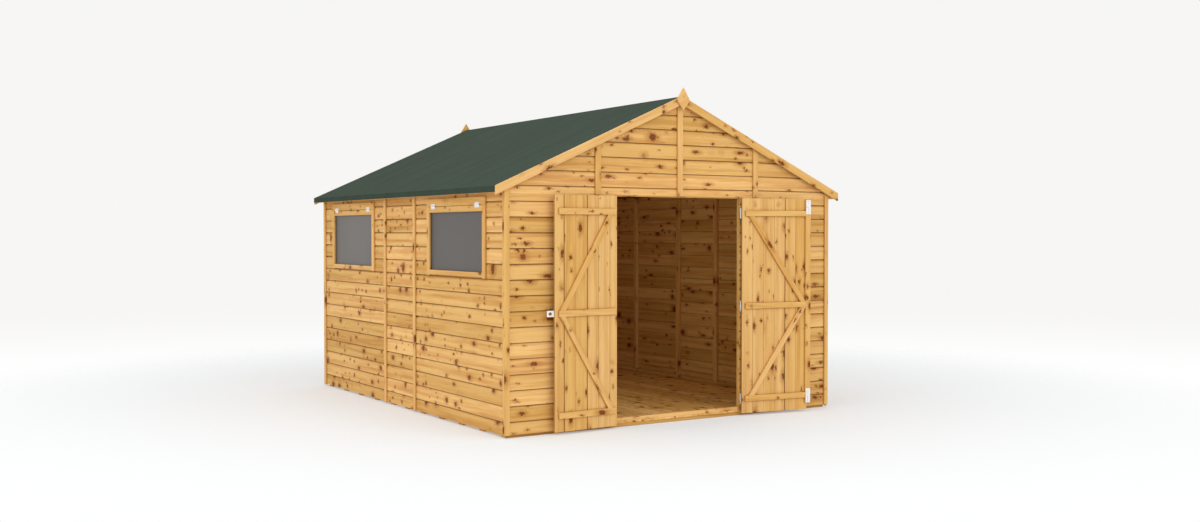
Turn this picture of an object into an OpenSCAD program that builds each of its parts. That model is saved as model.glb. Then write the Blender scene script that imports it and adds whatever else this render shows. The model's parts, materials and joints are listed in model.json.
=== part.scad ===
// Timber workshop shed with an apex roof, a pair of ledged and braced doors and two top-hung windows.
// X runs along the front gable, Y from the front to the back and Z up.

/* [Building] */
// Width over the corner strips
shed_w = 2990; // [2600:10:3400]
// Length over the corner strips
shed_l = 3600; // [3400:10:4200]
// Height of the side walls' top edge
eaves_z = 1776; // [1700:2:1850]
// Pitch of the roof in degrees
roof_pitch = 24; // [20:0.5:26]
// Reach of the roof past the corner strips at the eaves
eaves_reach = 82; // [60:2:140]
// Reach of the roof past the corner strips at the gables
gable_reach = 27; // [22:1:60]

/* [Walls] */
// Thickness of the cladding boards
clad_t = 12; // [9:1:20]
// Depth of the wall framing
frame_d = 28; // [22:1:50]
// Width of a stud
stud_w = 50; // [35:1:70]
// Height of the bottom and top rails of the walls
rail_h = 28; // [22:1:45]
// Height of the rail over the doorway
header_h = 44; // [30:1:70]
// Thickness of the cover strips
strip_t = 14; // [8:1:20]
// Width of the corner strips
corner_strip_w = 38; // [30:1:60]
// Width of the strips over the side wall seams
seam_strip_w = 38; // [30:1:60]
// Width of the strips on the gables
gable_strip_w = 48; // [35:1:70]
// Distance from the centre line to the outer gable strips
gable_strip_x = 730; // [600:5:900]
// Visible height of a cladding board
board_cover = 110; // [90:1:140]
// Height of the lowest joint between cladding boards
first_joint = 1; // [0:1:9]
// Height of the cove along a cladding board's top
cove_h = 14; // [8:1:24]
// Depth of the cove at the joint
cove_d = 6.8; // [3:0.2:8]
// Depth of the fine joints between other boards
joint_d = 1.6; // [0.5:0.1:2.5]
// Lower edge of the front cladding above the ground
front_clad_z = 20; // [10:1:24]
// Lower edge of the side and back cladding above the ground
side_clad_z = 10; // [4:1:24]
// Share of the length in front of the left wall's first seam
left_seam_share_1 = 0.4286; // [0.4:0.0002:0.45]
// Share of the length in front of the left wall's second seam
left_seam_share_2 = 0.5939; // [0.57:0.0001:0.61]
// Share of the length in front of the right wall's first seam
right_seam_share_1 = 0.4028; // [0.37:0.0002:0.43]
// Share of the length in front of the right wall's second seam
right_seam_share_2 = 0.5639; // [0.53:0.0001:0.6]
// Share of the length in front of the stud in the middle of the right wall's back panel
right_stud_share = 0.7639; // [0.7:0.0001:0.82]
// Gap where two timbers meet
timber_fit = 0.3; // [0.1:0.1:0.8]

/* [Floor] */
// Height of the bearers
bearer_h = 26; // [22:1:50]
// Width of the bearers
bearer_w = 70; // [45:1:100]
// Thickness of the floor boards
floor_t = 12; // [9:1:22]
// Width of a floor board
floor_board_w = 95; // [80:1:140]
// Distance from the front to the first bearer's centre line
bearer_front = 66; // [62:1:120]
// Share of the length in front of the bearer under the first floor seam
bearer_share_1 = 0.4003; // [0.37:0.0001:0.43]
// Share of the length in front of the bearer under the second floor seam
bearer_share_2 = 0.5656; // [0.53:0.0001:0.6]
// Distance from the back to the last bearer's centre line
bearer_back = 109; // [65:1:140]
// Bays between bearers in each long floor panel
long_bays = 4; // [2:1:6]
// Bays between bearers in the short floor panel
short_bays = 2; // [1:1:3]

/* [Roof] */
// Thickness of the roof boards
roof_board_t = 12; // [9:1:20]
// Width of a roof board
roof_board_w = 95; // [80:1:140]
// Thickness of the felt
felt_t = 3; // [2:0.5:5]
// Drop of the felt hem over the eaves
felt_hem = 40; // [25:1:60]
// Height of the bargeboards' top edge over the felt
barge_lip = 2; // [0:0.5:6]
// Depth of the bargeboards, measured upright
barge_h = 64; // [55:1:110]
// Thickness of the bargeboards
barge_t = 16; // [10:1:20]
// Gap between the layers of the roof
roof_fit = 0.1; // [0.05:0.05:0.5]
// Side of the rails under the roof boards
roof_rail = 28; // [22:1:45]
// Distance from the ridge to the purlins, along X
purlin_x = 740; // [500:10:1000]
// Width of the finials
finial_w = 106; // [80:1:140]
// Height of a finial over its widest place
finial_up = 84; // [60:1:120]
// Length of a finial under its widest place
finial_down = 86; // [60:1:130]
// Thickness of the finials
finial_t = 14; // [8:1:20]
// Height of the finials' widest place under the ridge line
finial_drop = 22; // [0:1:50]

/* [Doors] */
// Width of the doorway between the jamb studs
doorway_w = 1166; // [900:2:1300]
// Distance from the side walls' top down to the head of the doorway
doorway_drop = 82; // [75:1:140]
// Lower edge of the doors above the ground
door_bottom = 19; // [12:1:40]
// Lap of the doors over the rail at the head of the doorway
door_lap = 3; // [1:1:8]
// Clear gap round the doors
door_gap = 5; // [4:0.5:8]
// Width of the left door
left_door_w = 545; // [420:1:620]
// Thickness of the door boards
door_t = 12; // [9:1:20]
// Width of a door board
door_board_w = 100; // [80:1:130]
// Distance from the left door's hinge edge to its first joint
left_joint_x = 65; // [40:1:100]
// Distance from the right door's hinge edge to its first joint
right_joint_x = 98; // [40:1:110]
// Depth of the V joints on the doors' outer faces
vee_d = 3; // [1:0.2:4]
// Width of the ledges
ledge_w = 44; // [35:1:70]
// Width of the braces
brace_w = 40; // [30:1:60]
// Thickness of the ledges and braces
ledge_t = 16; // [10:1:22]
// Distance from a door's lower edge to the middle of its bottom ledge
ledge_from_bottom = 115; // [90:1:200]
// Distance from a door's upper edge to the middle of its top ledge
ledge_from_top = 117; // [90:1:200]
// Bare board past the left door's ledges at its free edge
ledge_inset_free = 31; // [30:1:80]
// Bare board past the left door's ledges at its hinge edge
ledge_inset_left = 16; // [5:1:60]
// Bare board past the right door's ledges at its hinge edge
ledge_inset_hinge = 26; // [5:1:80]
// Distance from the ledges' ends at the hinge edge in to the braces
brace_inset = 24; // [0:1:60]
// Width of the cover strip on the right door
cover_w = 46; // [40:1:70]
// Reach of the cover strip past the right door's boards
cover_reach = 25; // [12:1:28]
// Angle of the left door when it stands open
left_open_angle = 176.5; // [90:0.5:177]
// Angle of the right door when it stands open
right_open_angle = 173; // [90:0.5:173.5]
// Distance from the strips' faces back to the hinge pins
hinge_y = 2; // [0:0.5:4]

/* [Ironmongery] */
// Radius of a door hinge's knuckle
knuckle_r = 6.5; // [6:0.5:7]
// Height of a door hinge's knuckle
knuckle_h = 78; // [60:1:110]
// Radius of a door hinge's pin
pin_r = 2.5; // [2:0.1:3]
// Running gap round a hinge's pin
pin_fit = 0.1; // [0.05:0.05:0.3]
// Running gap between a hinge's knuckles
knuckle_gap = 0.5; // [0.3:0.1:1]
// Thickness of the hinge plates
plate_t = 2; // [1.5:0.1:3]
// Radius of the corners of plates
plate_corner = 4; // [2:0.5:6]
// Length of a door hinge's strap
strap_l = 250; // [150:5:400]
// Width of a strap at its knuckle
strap_w = 30; // [22:1:40]
// Width of a strap at its tip
strap_tip_w = 14; // [10:1:20]
// Width of the hinge plate on the wall
wall_plate_w = 32; // [24:1:45]
// Width of a tower bolt's plate
bolt_w = 42; // [30:1:45]
// Height of a tower bolt's plate
bolt_h = 114; // [90:1:150]
// Radius of a tower bolt
bolt_r = 4; // [3:0.5:5]
// Length of the hasp past the left door's edge
hasp_reach = 52; // [45:1:65]
// Length of the hasp's foot on the left door
hasp_foot = 36; // [28:1:50]
// Height of the hasp
hasp_h = 44; // [34:1:60]
// Length of the hasp's slot
slot_l = 30; // [26:1:34]
// Height of the hasp's slot
slot_h = 22; // [18:1:26]
// Thickness of the hasp
hasp_t = 3; // [2:0.5:4]
// Radius of the staple's rod
staple_r = 2.5; // [2:0.5:3]
// Distance between the staple's legs
staple_span = 14; // [12:1:14]
// Reach of the staple from the right door
staple_out = 20; // [16:1:26]

/* [Windows] */
// Share of the length in front of the front window's middle
window_share_1 = 0.2214; // [0.2:0.0001:0.24]
// Share of the length in front of the back window's middle
window_share_2 = 0.7975; // [0.78:0.0001:0.81]
// Width of a sash
sash_w = 990; // [800:2:1040]
// Distance from the side walls' top down to the head trim
window_drop = 89; // [60:1:140]
// Height of a sash
sash_h = 528; // [400:1:560]
// Width of a sash's stiles
stile_w = 47; // [42:1:70]
// Height of a sash's bottom rail
sash_bottom_rail = 42; // [38:1:70]
// Height of a sash's top rail
sash_top_rail = 47; // [38:1:70]
// Width of the sash's tongue in the wall opening
tongue_w = 24; // [18:1:30]
// Depth of the tongue behind the sash's face piece
tongue_d = 18; // [12:1:24]
// Distance from the sash's face back to the pane
pane_recess = 20; // [16:1:24]
// Thickness of the panes
pane_t = 4; // [3:0.5:6]
// Cover of the sash over each edge of the pane
pane_cover = 8; // [5:1:12]
// Clear gap between the tongue and the lining
sash_gap = 2; // [1:0.5:4]
// Height of the head trim over a sash
head_h = 58; // [40:1:70]
// Thickness of the lining boards in the window openings
lining_t = 12; // [9:1:18]
// Width of a window hinge
window_hinge_w = 66; // [40:1:80]
// Height of a window hinge
window_hinge_h = 40; // [30:1:60]
// Distance from a sash's end to its hinge's middle
window_hinge_in = 122; // [80:1:250]
// Radius of a window hinge's knuckle
window_knuckle_r = 4; // [3:0.5:5]

/* [Hidden] */
$fn = 48;
slope = tan(roof_pitch);
half_w = shed_w / 2;
clad_x = half_w - strip_t;
frame_x = clad_x - clad_t;
inner_x = frame_x - frame_d;
clad_y = strip_t;
frame_y = clad_y + clad_t;
inner_y = frame_y + frame_d;
floor_z = bearer_h + floor_t;
rail_z = floor_z + rail_h;
roof_half = half_w + eaves_reach;
wall_top = eaves_z;
rail_top = wall_top + slope * clad_x;
board_under = rail_top + roof_fit / cos(roof_pitch);
board_top = board_under + roof_board_t / cos(roof_pitch);
felt_top = board_top + felt_t / cos(roof_pitch);
ridge_z = felt_top + barge_lip;
strip_top = rail_top - slope * half_w;
left_seam_front = left_seam_share_1 * shed_l;
left_seam_back = left_seam_share_2 * shed_l;
right_seam_front = right_seam_share_1 * shed_l;
right_seam_back = right_seam_share_2 * shed_l;
right_mid_stud = right_stud_share * shed_l;
bearer_seam_front = bearer_share_1 * shed_l;
bearer_seam_back = bearer_share_2 * shed_l;
doorway_z = wall_top - doorway_drop;
door_top = doorway_z + door_lap;
door_clad_z = door_top + door_gap;
ledge_low_z = door_bottom + ledge_from_bottom;
ledge_high_z = door_top - ledge_from_top;
ledge_mid_z = (ledge_low_z + ledge_high_z) / 2;
sash_top = wall_top - window_drop - head_h;
sash_z = sash_top - sash_h;
half_door = doorway_w / 2;
hinge_x = half_door - door_gap / 2;
leaf_x = half_door - door_gap;
right_door_w = 2 * leaf_x - door_gap - left_door_w;
leaf_y = frame_y - door_gap - door_t;
leaf_in = leaf_y + door_t;
ledge_in = leaf_in + ledge_t;
guard_r = bolt_r + plate_t;
cover_low = rail_z + door_gap;
cover_high = doorway_z - door_gap;
meet_left = left_door_w - leaf_x;
meet_right = meet_left + door_gap;
daylight_w = sash_w - 2 * stile_w;
daylight_z = sash_z + sash_bottom_rail;
daylight_h = sash_h - sash_bottom_rail - sash_top_rail;
tongue_side = tongue_w + sash_gap + lining_t;
cut_w = daylight_w + 2 * tongue_side;
cut_z = daylight_z - tongue_side;
cut_h = daylight_h + 2 * tongue_side;
cover_x = meet_right - cover_reach;
cover_corner = [hinge_x - cover_x, ledge_in - hinge_y];
bolt_axis = [cover_corner[0] - cover_w / 2, cover_corner[1] + plate_t + bolt_r];
right_front = max(turned_front(cover_corner, right_open_angle),
    turned_front(bolt_axis, right_open_angle) + guard_r);
front_reach = min(hinge_y - right_front, -gable_reach - finial_t);
back_reach = shed_l + gable_reach + finial_t;
origin_y = (front_reach + back_reach) / 2;
WINDOWS = [window_share_1 * shed_l, window_share_2 * shed_l];
HINGE_LEVELS = [ledge_low_z, ledge_mid_z, ledge_high_z];
COVE_STEPS = 3;
COVE_START = 30;

// Reach in front of the hinge pins of a point on a door that stands open at an angle
function turned_front(point, angle) = point[0] * sin(angle) - point[1] * cos(angle);

// Points of a list in the opposite order
function reversed(points) = [for (i = [len(points) - 1:-1:0]) points[i]];

// Joints between boards of about one width, evenly spread from one place to another
function even_joints(x_from, x_to, board_w) = let (count = round((x_to - x_from) / board_w))
    [for (i = [1:count - 1]) x_from + (x_to - x_from) * i / count];

// V notches at the joints along a face, as points of an outline
function notches(joints, level, depth) = depth == 0 ? [] : [for (joint = joints, side = [-1, 0, 1])
    [joint + side * abs(depth), level + (1 - abs(side)) * depth]];

// Section of boards side by side between two faces, with their joints notched on one face or both
function board_section(x_from, x_to, near, far, joints, near_d, far_d) = concat(
    [[x_from, near]], notches(joints, near, near_d),
    [[x_to, near], [x_to, far]], reversed(notches(joints, far, -far_d)), [[x_from, far]]);

// Points given by distance from the ridge and height over a roof line that is top high at the ridge
function on_roof(top, points) = [for (point = points) [point[0], top - slope * point[0] + point[1]]];

// Depth and height of the cove at a cladding board's top, for an angle from its start up to the joint
function cove(angle) = [cove_d * (sin(angle) - sin(COVE_START)) / (1 - sin(COVE_START)),
    -cove_h * cos(angle) / cos(COVE_START)];

// Outer side of one cladding board from the joint under it: its lip, its face and its cove
function board_side(joint) = concat([[0, joint]], [for (i = [0:COVE_STEPS])
    [0, joint + board_cover] + cove(COVE_START + (90 - COVE_START) * i / COVE_STEPS)]);

// Puts the front of the corner strips at its distance from the origin
module placed() {
    translate([0, -origin_y, 0]) children();
}

// A box from its lowest to its highest corner
module block(low, high) {
    translate(low) cube(high - low);
}

// A copy of the children on each side of the shed
module both_sides() {
    children();
    mirror([1, 0, 0]) children();
}

// A copy of the children at each gable
module both_ends() {
    children();
    translate([0, shed_l, 0]) mirror([0, 1, 0]) children();
}

// Carries an outline in X and Z along Y
module along_y(y_from, y_to) {
    translate([0, y_to, 0]) rotate([90, 0, 0]) linear_extrude(y_to - y_from) children();
}

// The space under a roof line that is top high at the ridge, from one y to another
module under_roof(top, y_from, y_to) {
    along_y(y_from, y_to)
        polygon([[-roof_half, 0], [roof_half, 0], [roof_half, top - slope * roof_half],
            [0, top], [-roof_half, top - slope * roof_half]]);
}

// One half of a layer that follows the roof, between two upright offsets at the ridge
module roof_layer(top, thick, x_from, x_to, y_from, y_to) {
    along_y(y_from, y_to) polygon(on_roof(top, [[x_from, 0], [x_to, 0], [x_to, -thick], [x_from, -thick]]));
}

// Section of shiplap cladding between two heights: depth from the outer face along X, height along Y
module cladding_section(z_from, z_to) {
    rows = ceil((z_to - first_joint) / board_cover);
    intersection() {
        polygon(concat([for (row = [-1:rows]) each board_side(first_joint + row * board_cover)],
            [[clad_t, first_joint + (rows + 1) * board_cover], [clad_t, first_joint - board_cover]]));
        translate([0, z_from]) square([clad_t, z_to - z_from]);
    }
}

module floor_bearers() {
    color("burlywood") placed() {
        bearer_row(bearer_front, bearer_seam_front, long_bays);
        bearer_row(bearer_seam_front, bearer_seam_back, short_bays);
        bearer_row(bearer_seam_back, shed_l - bearer_back, long_bays);
    }
}

// Bearers at even distances from one y to another
module bearer_row(y_from, y_to, bays) {
    for (i = [0:bays]) {
        y = y_from + (y_to - y_from) * i / bays;
        block([-frame_x, y - bearer_w / 2, 0], [frame_x, y + bearer_w / 2, bearer_h]);
    }
}

module floor_boards() {
    joints = even_joints(-frame_x, frame_x, floor_board_w);
    color("peru") placed() along_y(frame_y, shed_l - frame_y)
        polygon(board_section(-frame_x, frame_x, bearer_h, floor_z, joints, 0, joint_d));
}

module threshold() {
    color("burlywood") placed()
        block([-half_door, frame_y, floor_z], [half_door, inner_y, rail_z]);
}

// Cladding of the front wall between two places along X and two heights
module front_cladding(x_from, x_to, z_from, z_to) {
    translate([x_from, clad_y, 0]) rotate([90, 0, 90]) linear_extrude(x_to - x_from)
        cladding_section(z_from, z_to);
}

// Cladding of a gable wall from a height up to the roof
module gable_cladding(z_from) {
    intersection() {
        front_cladding(-clad_x, clad_x, z_from, rail_top);
        under_roof(rail_top, clad_y - 1, frame_y + 1);
    }
}

// Cladding beside the doorway on the right
module front_side_cladding() {
    front_cladding(half_door, clad_x, front_clad_z, door_clad_z);
}

module front_wall_left() {
    color("goldenrod") placed() mirror([1, 0, 0]) front_side_cladding();
}

module front_wall_right() {
    color("goldenrod") placed() front_side_cladding();
}

module front_gable() {
    color("goldenrod") placed() gable_cladding(door_clad_z);
}

module back_wall() {
    color("goldenrod") placed() translate([0, shed_l, 0]) mirror([0, 1, 0]) gable_cladding(side_clad_z);
}

// Cladding of a side wall on the right, between two distances from the front
module side_cladding(y_from, y_to) {
    translate([clad_x, 0, 0]) mirror([1, 0, 0]) along_y(y_from, y_to)
        cladding_section(side_clad_z, wall_top);
}

// Cladding of a window panel on the right, with the window's opening
module window_cladding(y_from, y_to, centre) {
    difference() {
        side_cladding(y_from, y_to);
        block([frame_x - 1, centre - cut_w / 2, cut_z], [clad_x + 1, centre + cut_w / 2, cut_z + cut_h]);
    }
}

module left_wall_front() {
    color("goldenrod") placed() mirror([1, 0, 0])
        window_cladding(frame_y, left_seam_front, WINDOWS[0]);
}

module left_wall_middle() {
    color("goldenrod") placed() mirror([1, 0, 0]) side_cladding(left_seam_front, left_seam_back);
}

module left_wall_back() {
    color("goldenrod") placed() mirror([1, 0, 0])
        window_cladding(left_seam_back, shed_l - frame_y, WINDOWS[1]);
}

module right_wall_front() {
    color("goldenrod") placed() side_cladding(frame_y, right_seam_front);
}

module right_wall_middle() {
    color("goldenrod") placed() side_cladding(right_seam_front, right_seam_back);
}

module right_wall_back() {
    color("goldenrod") placed() side_cladding(right_seam_back, shed_l - frame_y);
}

// Studs of a gable wall over its cross rail
module gable_studs() {
    intersection() {
        for (x = [-gable_strip_x, 0, gable_strip_x])
            block([x - stud_w / 2, frame_y, doorway_z + header_h], [x + stud_w / 2, inner_y, ridge_z]);
        under_roof(rail_top - (header_h + timber_fit) / cos(roof_pitch), frame_y, inner_y);
    }
}

module front_studs() {
    color("sandybrown") placed() {
        both_sides() {
            block([half_door, frame_y, rail_z], [half_door + stud_w, inner_y, doorway_z]);
            block([frame_x - stud_w, frame_y, rail_z], [frame_x, inner_y, doorway_z]);
        }
        gable_studs();
    }
}

module back_studs() {
    color("sandybrown") placed() translate([0, shed_l, 0]) mirror([0, 1, 0]) {
        for (x = [-gable_strip_x, 0, gable_strip_x])
            block([x - stud_w / 2, frame_y, rail_z], [x + stud_w / 2, inner_y, doorway_z]);
        both_sides() block([frame_x - stud_w, frame_y, rail_z], [frame_x, inner_y, doorway_z]);
        gable_studs();
    }
}

// Stud of the right side wall, centred at a distance from the front
module side_stud(centre, z_from, z_to) {
    block([inner_x, centre - stud_w / 2, z_from], [frame_x, centre + stud_w / 2, z_to]);
}

module side_studs() {
    top = wall_top - rail_h;
    color("sandybrown") placed() {
        both_sides() {
            side_stud(inner_y + stud_w / 2, rail_z, top);
            side_stud(shed_l - inner_y - stud_w / 2, rail_z, top);
        }
        mirror([1, 0, 0]) {
            side_stud(left_seam_front, rail_z, top);
            side_stud(left_seam_back, rail_z, top);
            for (centre = WINDOWS)
                side_stud(centre, rail_z, cut_z - rail_h);
        }
        side_stud(right_seam_front, rail_z, top);
        side_stud(right_seam_back, rail_z, top);
        side_stud(right_seam_front / 2, rail_z, top);
        side_stud(right_mid_stud, rail_z, top);
    }
}

module wall_rails() {
    color("sandybrown") placed() {
        both_sides() {
            block([inner_x, inner_y + timber_fit, floor_z],
                [frame_x, shed_l - inner_y - timber_fit, rail_z]);
            block([inner_x, inner_y + timber_fit, wall_top - rail_h],
                [frame_x, shed_l - inner_y - timber_fit, wall_top]);
            block([half_door, frame_y, floor_z], [frame_x, inner_y, rail_z]);
        }
        block([-frame_x, shed_l - inner_y, floor_z], [frame_x, shed_l - frame_y, rail_z]);
        both_ends() block([-frame_x, frame_y, doorway_z], [frame_x, inner_y, doorway_z + header_h]);
    }
}

module gable_rafters() {
    color("sandybrown") placed() both_ends() both_sides() intersection() {
        roof_layer(rail_top, header_h / cos(roof_pitch), timber_fit, frame_x, frame_y, inner_y);
        block([timber_fit, frame_y, doorway_z + header_h], [frame_x, inner_y, ridge_z]);
    }
}

// The two strips of the right front corner, the one on the gable from a height up
module corner_strip_pair(z_from) {
    block([half_w - corner_strip_w, 0, z_from], [half_w, clad_y, strip_top]);
    block([clad_x, clad_y + timber_fit, side_clad_z], [half_w, corner_strip_w, strip_top]);
}

module corner_strips() {
    color("orange") placed() both_sides() {
        corner_strip_pair(front_clad_z);
        translate([0, shed_l, 0]) mirror([0, 1, 0]) corner_strip_pair(side_clad_z);
    }
}

// Cover strip on the right side wall, centred on a seam
module seam_strip(centre) {
    block([clad_x, centre - seam_strip_w / 2, side_clad_z], [half_w, centre + seam_strip_w / 2, strip_top]);
}

module side_strips() {
    color("orange") placed() {
        mirror([1, 0, 0]) {
            seam_strip(left_seam_front);
            seam_strip(left_seam_back);
        }
        seam_strip(right_seam_front);
        seam_strip(right_seam_back);
    }
}

// Cover strips on a gable wall, from a height up to the roof
module gable_wall_strips(z_from) {
    intersection() {
        for (x = [-gable_strip_x, 0, gable_strip_x])
            block([x - gable_strip_w / 2, 0, z_from], [x + gable_strip_w / 2, clad_y, ridge_z]);
        under_roof(rail_top, -1, clad_y + 1);
    }
}

module gable_strips() {
    color("orange") placed() {
        gable_wall_strips(door_clad_z);
        translate([0, shed_l, 0]) mirror([0, 1, 0]) gable_wall_strips(side_clad_z);
    }
}

// Roof boards on the right of the ridge
module roof_slope_boards() {
    x_end = roof_half - felt_t - roof_fit;
    joints = even_joints(0, x_end, roof_board_w * cos(roof_pitch));
    thick = board_top - board_under - roof_fit;
    along_y(barge_t - gable_reach, shed_l + gable_reach - barge_t)
        polygon(on_roof(board_under, board_section(0, x_end, 0, thick, joints, joint_d, 0)));
}

module roof_boards_left() {
    color("tan") placed() mirror([1, 0, 0]) roof_slope_boards();
}

module roof_boards_right() {
    color("tan") placed() roof_slope_boards();
}

// Rail under the roof boards on the right, from one x to another and one y to another
module roof_rail_at(x_from, y_from, y_to) {
    roof_layer(rail_top, roof_rail / cos(roof_pitch), x_from, x_from + roof_rail, y_from, y_to);
}

module roof_rails() {
    color("sandybrown") placed() both_sides() {
        roof_rail_at(roof_half - felt_t - roof_rail, barge_t - gable_reach, shed_l + gable_reach - barge_t);
        roof_rail_at(purlin_x, inner_y, shed_l - inner_y);
        roof_rail_at(timber_fit, inner_y, shed_l - inner_y);
    }
}

module roof_felt() {
    hem_top = board_top - slope * (roof_half - felt_t);
    color("darkslategray") placed() {
        both_sides() {
            roof_layer(felt_top, felt_top - board_top, 0, roof_half,
                barge_t - gable_reach, shed_l + gable_reach - barge_t);
            block([roof_half - felt_t, barge_t - gable_reach, hem_top - felt_hem],
                [roof_half, shed_l + gable_reach - barge_t, hem_top]);
        }
    }
}

// Pair of bargeboards at the front
module bargeboard_pair() {
    both_sides() roof_layer(ridge_z, barge_h, 0, roof_half, -gable_reach, barge_t - gable_reach);
}

module bargeboards_front() {
    color("orange") placed() bargeboard_pair();
}

module bargeboards_back() {
    color("orange") placed() translate([0, shed_l, 0]) mirror([0, 1, 0]) bargeboard_pair();
}

// Outline of a finial about its widest place
function finial_side(t) = finial_w / 2 * (t > 0 ? 1 - t : pow(cos(-t * 90), 1.2));

module finial() {
    steps = 12;
    right = [for (i = [-steps:steps]) [finial_side(i / steps), i > 0 ? finial_up * i / steps
        : finial_down * i / steps]];
    left = [for (i = [steps - 1:-1:1 - steps]) [-finial_side(i / steps), i > 0 ? finial_up * i / steps
        : finial_down * i / steps]];
    translate([0, -gable_reach, ridge_z - finial_drop]) rotate([90, 0, 0])
        linear_extrude(finial_t) polygon(concat(right, left));
}

module finials() {
    color("orange") placed() both_ends() finial();
}

module window_frames() {
    color("orange") placed() mirror([1, 0, 0]) for (centre = WINDOWS) {
        block([clad_x, centre - sash_w / 2, sash_z + sash_h],
            [half_w, centre + sash_w / 2, sash_z + sash_h + head_h]);
        difference() {
            block([inner_x, centre - cut_w / 2, cut_z], [clad_x, centre + cut_w / 2, cut_z + cut_h]);
            block([inner_x - 1, centre - cut_w / 2 + lining_t, cut_z + lining_t],
                [clad_x + 1, centre + cut_w / 2 - lining_t, cut_z + cut_h - lining_t]);
        }
    }
}

module window_sashes() {
    color("orange") placed() mirror([1, 0, 0]) for (centre = WINDOWS) {
        difference() {
            union() {
                block([clad_x, centre - sash_w / 2, sash_z], [half_w, centre + sash_w / 2, sash_z + sash_h]);
                block([clad_x - tongue_d, centre - daylight_w / 2 - tongue_w, daylight_z - tongue_w],
                    [clad_x, centre + daylight_w / 2 + tongue_w, daylight_z + daylight_h + tongue_w]);
            }
            block([clad_x - tongue_d - 1, centre - daylight_w / 2, daylight_z],
                [half_w + 1, centre + daylight_w / 2, daylight_z + daylight_h]);
            block([clad_x - tongue_d - 1, centre - daylight_w / 2 - pane_cover, daylight_z - pane_cover],
                [half_w - pane_recess, centre + daylight_w / 2 + pane_cover,
                    daylight_z + daylight_h + pane_cover]);
        }
    }
}

module window_panes() {
    color("dimgray", 0.6) placed() mirror([1, 0, 0]) for (centre = WINDOWS)
        block([half_w - pane_recess - pane_t, centre - daylight_w / 2 - pane_cover, daylight_z - pane_cover],
            [half_w - pane_recess, centre + daylight_w / 2 + pane_cover,
                daylight_z + daylight_h + pane_cover]);
}

module window_hinges() {
    color("gainsboro") placed() mirror([1, 0, 0]) for (centre = WINDOWS, side = [-1, 1]) {
        y = centre + side * (sash_w / 2 - window_hinge_in);
        translate([half_w, y, sash_z + sash_h]) {
            rotate([90, 0, 90]) linear_extrude(plate_t) round_plate(window_hinge_w, window_hinge_h);
            translate([window_knuckle_r, window_hinge_w / 2, 0]) rotate([90, 0, 0])
                cylinder(r = window_knuckle_r, h = window_hinge_w);
        }
    }
}

// Outline of a flat plate with round corners, about its middle
module round_plate(length, height) {
    inner = [length / 2 - plate_corner, height / 2 - plate_corner];
    square([2 * inner[0], height], center = true);
    square([length, 2 * inner[1]], center = true);
    for (x = [-1, 1], y = [-1, 1]) translate([x * inner[0], y * inner[1]]) circle(r = plate_corner);
}

// Turns a door about its hinge pins from shut
module swung(side, angle) {
    translate([side * hinge_x, hinge_y, 0]) rotate([0, 0, angle])
        translate([-side * hinge_x, -hinge_y, 0]) children();
}

module left_door() {
    placed() swung(-1, -left_open_angle) children();
}

module right_door() {
    placed() swung(1, right_open_angle) children();
}

// Knuckle of a hinge without its bore, at a place along the pin counted in fifths
module knuckle(level, from, to) {
    fifth = knuckle_h / 5;
    translate([0, 0, level - knuckle_h / 2 + from * fifth + knuckle_gap / 2])
        cylinder(r = knuckle_r, h = (to - from) * fifth - knuckle_gap);
}

// Wall half of a door hinge on the right: plate, cranked web and two knuckles that hold the riveted pin
module jamb_hinge(level) {
    bottom = level - knuckle_h / 2;
    fifth = knuckle_h / 5;
    translate([hinge_x, hinge_y, 0]) {
        for (from = [0, 4]) {
            low = bottom + from * fifth + knuckle_gap / 2;
            high = low + fifth - knuckle_gap;
            knuckle(level, from, from + 1);
            block([0, 0, low], [knuckle_r + plate_t, knuckle_r, high]);
            block([half_door - hinge_x + timber_fit, 0, low], [knuckle_r + plate_t, clad_y - hinge_y, high]);
        }
        block([knuckle_r, clad_y - plate_t - hinge_y, bottom],
            [knuckle_r + wall_plate_w, clad_y - hinge_y, bottom + knuckle_h]);
        translate([0, 0, bottom - plate_t]) cylinder(r = pin_r, h = knuckle_h + 2 * plate_t);
        for (z = [bottom - plate_t, bottom + knuckle_h])
            translate([0, 0, z]) cylinder(r = knuckle_r - 1, h = plate_t);
    }
}

module jamb_hinges() {
    color("silver") placed() both_sides() for (level = HINGE_LEVELS) jamb_hinge(level);
}

// Strap half of a door hinge on the right: tapered strap with a round tip and the bored middle knuckle
module strap_hinge(level) {
    translate([hinge_x, 0, 0]) difference() {
        union() {
            translate([0, hinge_y, 0]) knuckle(level, 1, 4);
            translate([0, leaf_y, level]) rotate([90, 0, 0]) linear_extrude(plate_t) union() {
                polygon([[0, strap_w / 2], [0, -strap_w / 2], [-strap_l, -strap_tip_w / 2],
                    [-strap_l, strap_tip_w / 2]]);
                translate([-strap_l, 0]) circle(r = strap_tip_w / 2);
            }
        }
        translate([0, hinge_y, level - knuckle_h]) cylinder(r = pin_r + pin_fit, h = 2 * knuckle_h);
    }
}

// Brace that rises from one height to another between two distances from the right hinge edge
module brace(x_low, x_high, z_low, z_high) {
    lean = (x_high - x_low) / (z_high - z_low);
    run = brace_w * sqrt(1 + lean * lean);
    translate([0, ledge_in, 0]) rotate([90, 0, 0]) linear_extrude(ledge_t)
        polygon([[x_low, z_low], [x_low + run, z_low], [x_high + run, z_high], [x_high, z_high]]);
}

// Ledges between two places along X
module ledges(x_from, x_to) {
    for (level = HINGE_LEVELS)
        block([x_from, leaf_in, level - ledge_w / 2], [x_to, ledge_in, level + ledge_w / 2]);
}

// Braces from the hinge edge's outer ledges to the free edge's middle ledge, as on the right door
module brace_pair(x_hinge, x_free) {
    half = ledge_w / 2;
    brace(x_hinge, x_free, ledge_low_z + half, ledge_mid_z - half);
    brace(x_free, x_hinge, ledge_mid_z + half, ledge_high_z - half);
}

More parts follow.
